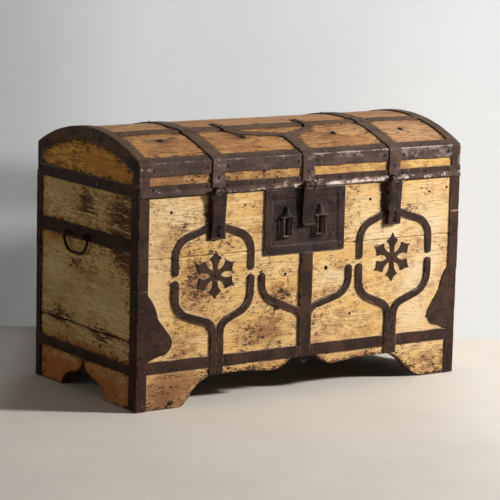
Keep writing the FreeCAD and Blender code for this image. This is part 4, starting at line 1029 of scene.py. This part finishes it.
def soil(board, marks, patches, flat):
    """Writes a board's state. Each mark (pieces, kind, amount, reach) starts at its amount along the pieces'
    edges, fades over the reach and adds up in corners. Patches of each kind are soft ovals (u, v, width,
    height, amount) on the two ways of flat, in millimetres and thousandths."""
    mesh = board.data
    points = np.empty(len(mesh.vertices) * 3)
    mesh.vertices.foreach_get("co", points)
    points = points.reshape(-1, 3)
    state = np.zeros((len(points), 4))
    for pieces, kind, amount, reach in marks:
        clean = np.ones(len(points))
        for one in pieces:
            spots = one["foot"]
            low, high = spots.min(axis=0) - 5 * reach, spots.max(axis=0) + 5 * reach
            near = np.all((points > low) & (points < high), axis=1)
            if near.any():
                close = points[near]
                apart = np.sum(close**2, axis=1)[:, None] + np.sum(spots**2, axis=1) - 2 * close @ spots.T
                clean[near] *= 1 - amount * np.exp(-np.sqrt(np.maximum(apart.min(axis=1), 0)) / reach)
        state[:, kind] += 1 - clean
    for kind, ovals in patches.items():
        for u, v, wide, tall, amount in np.array(ovals) / 1000:
            away = ((points[:, flat[0]] - u) / wide) ** 2 + ((points[:, flat[1]] - v) / tall) ** 2
            state[:, kind] += amount * np.exp(-away)
    state[:, 3] = 1
    mark = mesh.attributes.new("state", "FLOAT_COLOR", "POINT")
    mark.data.foreach_set("color", np.clip(state, 0, 1.6).astype(np.float32).reshape(-1))


dirt, bleach_and_sheen, ruddy_and_shade = 0, 1, 2
front_patches = {
    dirt: [
        (-405, 365, 55, 80, 300), (-170, 185, 80, 50, 450), (-380, 410, 90, 100, 400),
        (-420, 560, 160, 50, 250), (500, 45, 80, 40, 400), (-40, 250, 120, 70, 250),
        (405, 535, 35, 18, 700), (-90, 315, 50, 20, 500), (-110, 280, 40, 20, 600),
        # The tall narrow patches at -351.5 and 301, just left of the side hasps, are the hasps' shadows
        # painted on the wood.
        (-474.5, 17.3, 9, 8, 1000), (-520, 60, 90, 50, 350), (-351.5, 595, 8, 80, 1300),
        (301, 595, 17, 80, 1600)],
    bleach_and_sheen: [
        # The pale patches on the right half are partly paler paint and partly painted light: the four at 345
        # 480, 500 490, 440 330 and 430 200 are the lamp's sheen painted in.
        (-470, 585, 90, 50, 600), (-540, 380, 50, 120, 500), (345, 480, 30, 20, 800),
        (500, 490, 50, 40, 800), (440, 330, 70, 60, 900), (430, 200, 70, 60, 900), (110, 350, 60, 20, 700),
        (470, 550, 120, 70, 400), (280, 470, 50, 30, 800), (500, 390, 40, 60, 800), (230, 560, 60, 60, 350)],
    ruddy_and_shade: [
        (-380, 380, 80, 100, 800), (-500, 30, 160, 80, 1000), (520, 30, 120, 80, 550),
        (-50, 260, 130, 90, 250), (0, 90, 400, 40, 420), (-160, 190, 100, 60, 700),
        (100, 200, 120, 50, 250), (-450, 200, 80, 50, 400)]}
end_patches = {
    dirt: [
        (10, 600, 60, 35, 850), (0, 560, 60, 20, 600), (-190, 580, 80, 65, 950),
        (-200, 440, 70, 50, 750), (50, 395, 60, 30, 750), (150, 220, 80, 30, 750), (-100, 190, 70, 35, 800),
        (-200, 50, 120, 50, 80), (220, 50, 100, 50, 200)],
    bleach_and_sheen: [
        (-100, 290, 200, 50, 400), (200, 570, 80, 60, 300), (200, 350, 80, 60, 400)],
    ruddy_and_shade: [
        (-100, 40, 250, 60, 1000), (200, 40, 200, 60, 1000), (200, 465, 80, 30, 1000),
        (0, 130, 300, 30, 800)]}
dome_patches = {
    dirt: [
        (-454, -175, 12, 12, 1000), (-162, -183, 12, 12, 1000), (173, -190, 12, 12, 1000),
        (437, -190, 12, 12, 1000), (-30, -60, 12, 14, 900), (-300, 20, 12, 14, 900)],
    bleach_and_sheen: [
        # The wide pale patch on the right and the two wide ruddy ones on the left, at -450 -200 and -200
        # -100, paint the dome lighter on its right and darker on its left, as the lamp falls on it; the small
        # ruddy ones round the nails are rust stains.
        (450, -200, 200, 100, 350)],
    ruddy_and_shade: [
        (-454, -175, 30, 16, 900), (-175, -183, 40, 14, 900), (165, -190, 35, 18, 900),
        (437, -190, 30, 16, 900), (-450, -200, 100, 60, 500), (-200, -100, 100, 60, 500)]}
rail_patches = {
    dirt: [
        (-450, 690, 220, 100, 400), (-200, 690, 120, 100, 300)],
    ruddy_and_shade: [(-480, 690, 200, 100, 800), (-150, 690, 160, 100, 650), (150, 690, 120, 100, 300)]}
# The boards darken towards their sawn lower edges, on both arrises of the cut.
sawn_edge = []
for faces, run, edge in (((front, back), board_run, under), ((left, right), end_run, end_under)):
    for face in faces:
        place, out = face(run, edge)
        sawn_edge += [{"foot": place}, {"foot": place - plank * out}]
open_joint = [{"foot": face(end_run, split)[0]} for hand, face in ends]
long_ways, end_ways, top_ways = (0, 2), (1, 2), (0, 1)
for board in front_boards:
    marks = [(carcass_irons, dirt, 0.22, 0.005), (carcass_irons, bleach_and_sheen, 0.55, 0.004)]
    soil(board, marks + [(sawn_edge, dirt, 1.0, 0.009)], front_patches, long_ways)
for board in back_boards:
    soil(board, [(carcass_irons, dirt, 0.6, 0.01), (sawn_edge, dirt, 1.0, 0.01)], {}, long_ways)
for board in end_boards:
    marks = [(carcass_irons, dirt, 0.75, 0.012), (sawn_edge, dirt, 0.9, 0.008)]
    marks += [(open_joint, dirt, 1.0, 0.006), (open_joint, bleach_and_sheen, 0.5, 0.012)]
    soil(board, marks, end_patches, end_ways)
for board in lid_boards:
    if "rail" in board.name:
        soil(board, [(lid_irons, dirt, 0.3, 0.005)], rail_patches, long_ways)
    else:
        soil(board, [(lid_irons, dirt, 0.95, 0.013)], dome_patches, top_ways)

# Studio
# Pale floor and wall, one large soft lamp high on the right of the front, weak light all round, and the
# camera on the left of the front. The wall leans back, so that the lid can open in front of it. Both glow
# with painted light that the camera alone sees: on the wall it rises to the right and a painted shadow of the
# chest darkens it low on the left, and on the floor it is faint on the far left and on the right.
az, el, roll = math.radians(-34.73), math.radians(9.75), math.radians(1.49)
ahead = np.array([-math.sin(az), math.cos(az), 0.0])
beside = np.array([math.cos(az), math.sin(az), 0.0])
wall_foot = 0.64
wall_lean = 0.21
wall_high = 6
far = 9


def plain(name, corners, seen_colour, bounce, glow):
    """Flat ground with a faint cloudiness in its paint, clear from behind. It throws back less light than the
    camera, mirrors and glass see. These also see painted light and shadow by place, a glow that lights
    nothing."""
    mesh = bpy.data.meshes.new(name)
    mesh.from_pydata([tuple(corner) for corner in corners], [], [(0, 1, 2, 3)])
    made, shader, place = begun(name + "_paint")
    rays = place.node("LightPath", {}, {}, 0)
    seen = rays.sums("MAXIMUM", rays, rays.sums("MAXIMUM", rays.also(3), rays.also(6)))
    shade = between(cloud(place, 3.0, 5.0), 0.3, 0.7)
    tint = mixed(shade, seen_colour, [0.94 * c for c in seen_colour])
    spot = place.node("SeparateXYZ", {}, {0: place})
    across = spot * float(beside[0]) + spot.also(1) * float(beside[1])
    deep = spot * float(ahead[0]) + spot.also(1) * float(ahead[1])
    shine = mixed(seen * glow(across, deep, spot.also(2)), (0, 0, 0), (1, 1, 1))
    feed(shader, Base_Color=mixed(seen, [bounce * c for c in seen_colour], tint), Emission_Color=shine)
    feed(shader, Alpha=1.0 - place.node("NewGeometry", {}, {}, 6))
    shader.inputs["Roughness"].default_value = 0.75
    shader.inputs["Emission Strength"].default_value = 1.0
    mesh.materials.append(made)
    placed(name, mesh)


def floor_painted_light(across, deep, up):
    """Painted light on the floor: faint on the far left, stronger on the right, less towards the camera."""
    further = between(deep, -0.9, -0.5)
    right_side = (0.05 + 0.06 * further) * between(across, 0.45, 0.8)
    # Painted light lifting the floor's shade on the far left, and a painted pool of light on the right.
    return 0.05 * further * (1.0 - between(across, -0.8, -0.66)) + right_side


def wall_painted_light(across, deep, up):
    """Painted light on the wall: it rises from left to right, and a painted shadow of the chest takes it away
    low on the left, most beside the middle of the chest.
    """
    # Painted shadow of the chest on the wall, low on the left.
    painted_chest_shadow = (1.0 - between(across, -0.66, -0.5)) * (1.0 - between(up, 0.48, 0.62))
    painted_chest_shadow = painted_chest_shadow * (0.42 + 0.58 * between(up, 0.34, 0.44))
    rise = 0.15 + 0.18 * between(across, -0.95, -0.3) + 0.05 * between(across, 0.2, 0.8)
    return rise * (1.0 - painted_chest_shadow)


corners = [ahead * a + beside * b for a, b in ((-far, -far), (-far, far), (far, far), (far, -far))]
plain("floor", corners, (0.78, 0.74, 0.7), 0.36, floor_painted_light)
corners = [
    ahead * (wall_foot + wall_lean * z) + beside * b + (0, 0, z)
    for b, z in ((-far, 0), (far, 0), (far, wall_high), (-far, wall_high))]
plain("wall", corners, (0.68, 0.74, 0.8), 0.6, wall_painted_light)


def lamp(name, place, target, size, power, colour, gloss=True):
    """Square soft lamp that faces its target; without gloss it lights but isn't mirrored."""
    light = bpy.data.lights.new(name, "AREA")
    light.size = size
    light.energy = power
    light.color = colour
    holder = placed(name, light)
    holder.location = place
    holder.rotation_euler = (Vector(target) - Vector(place)).to_track_quat("-Z", "Y").to_euler()
    holder.visible_glossy = gloss


lamp("key", (4.86, -4.04, 3.29), (0.1, 0, 0.4), 0.77, 640, (1.0, 0.95, 0.88))
lamp("top", (-0.5, -1.5, 3.6), (0, 0, 0.5), 2.5, 4, (1.0, 0.98, 0.96))
lamp("side", (-4.0, 0.9, 1.2), (0, 0.2, 0.4), 2.0, 16, (1.0, 0.84, 0.62), gloss=False)
world = bpy.data.worlds.new("room")
world.use_nodes = True
sky = world.node_tree.nodes["Background"]
sky.inputs["Color"].default_value = (1.0, 0.98, 0.96, 1)
sky.inputs["Strength"].default_value = 0.04
bpy.context.scene.world = world
bpy.context.scene.view_settings.view_transform = "Standard"

camera = placed("camera", bpy.data.cameras.new("camera"))
camera.data.lens = 174.25
camera.data.sensor_width = 36
turns = ((az, "Z"), (math.pi / 2 - el, "X"), (roll, "Z"))
pan, tilt, cant = (Matrix.Rotation(angle, 4, axis) for angle, axis in turns)
camera.matrix_world = Matrix.Translation((-4.2915, -6.1942, 1.6921)) @ pan @ tilt @ cant
bpy.context.scene.camera = camera
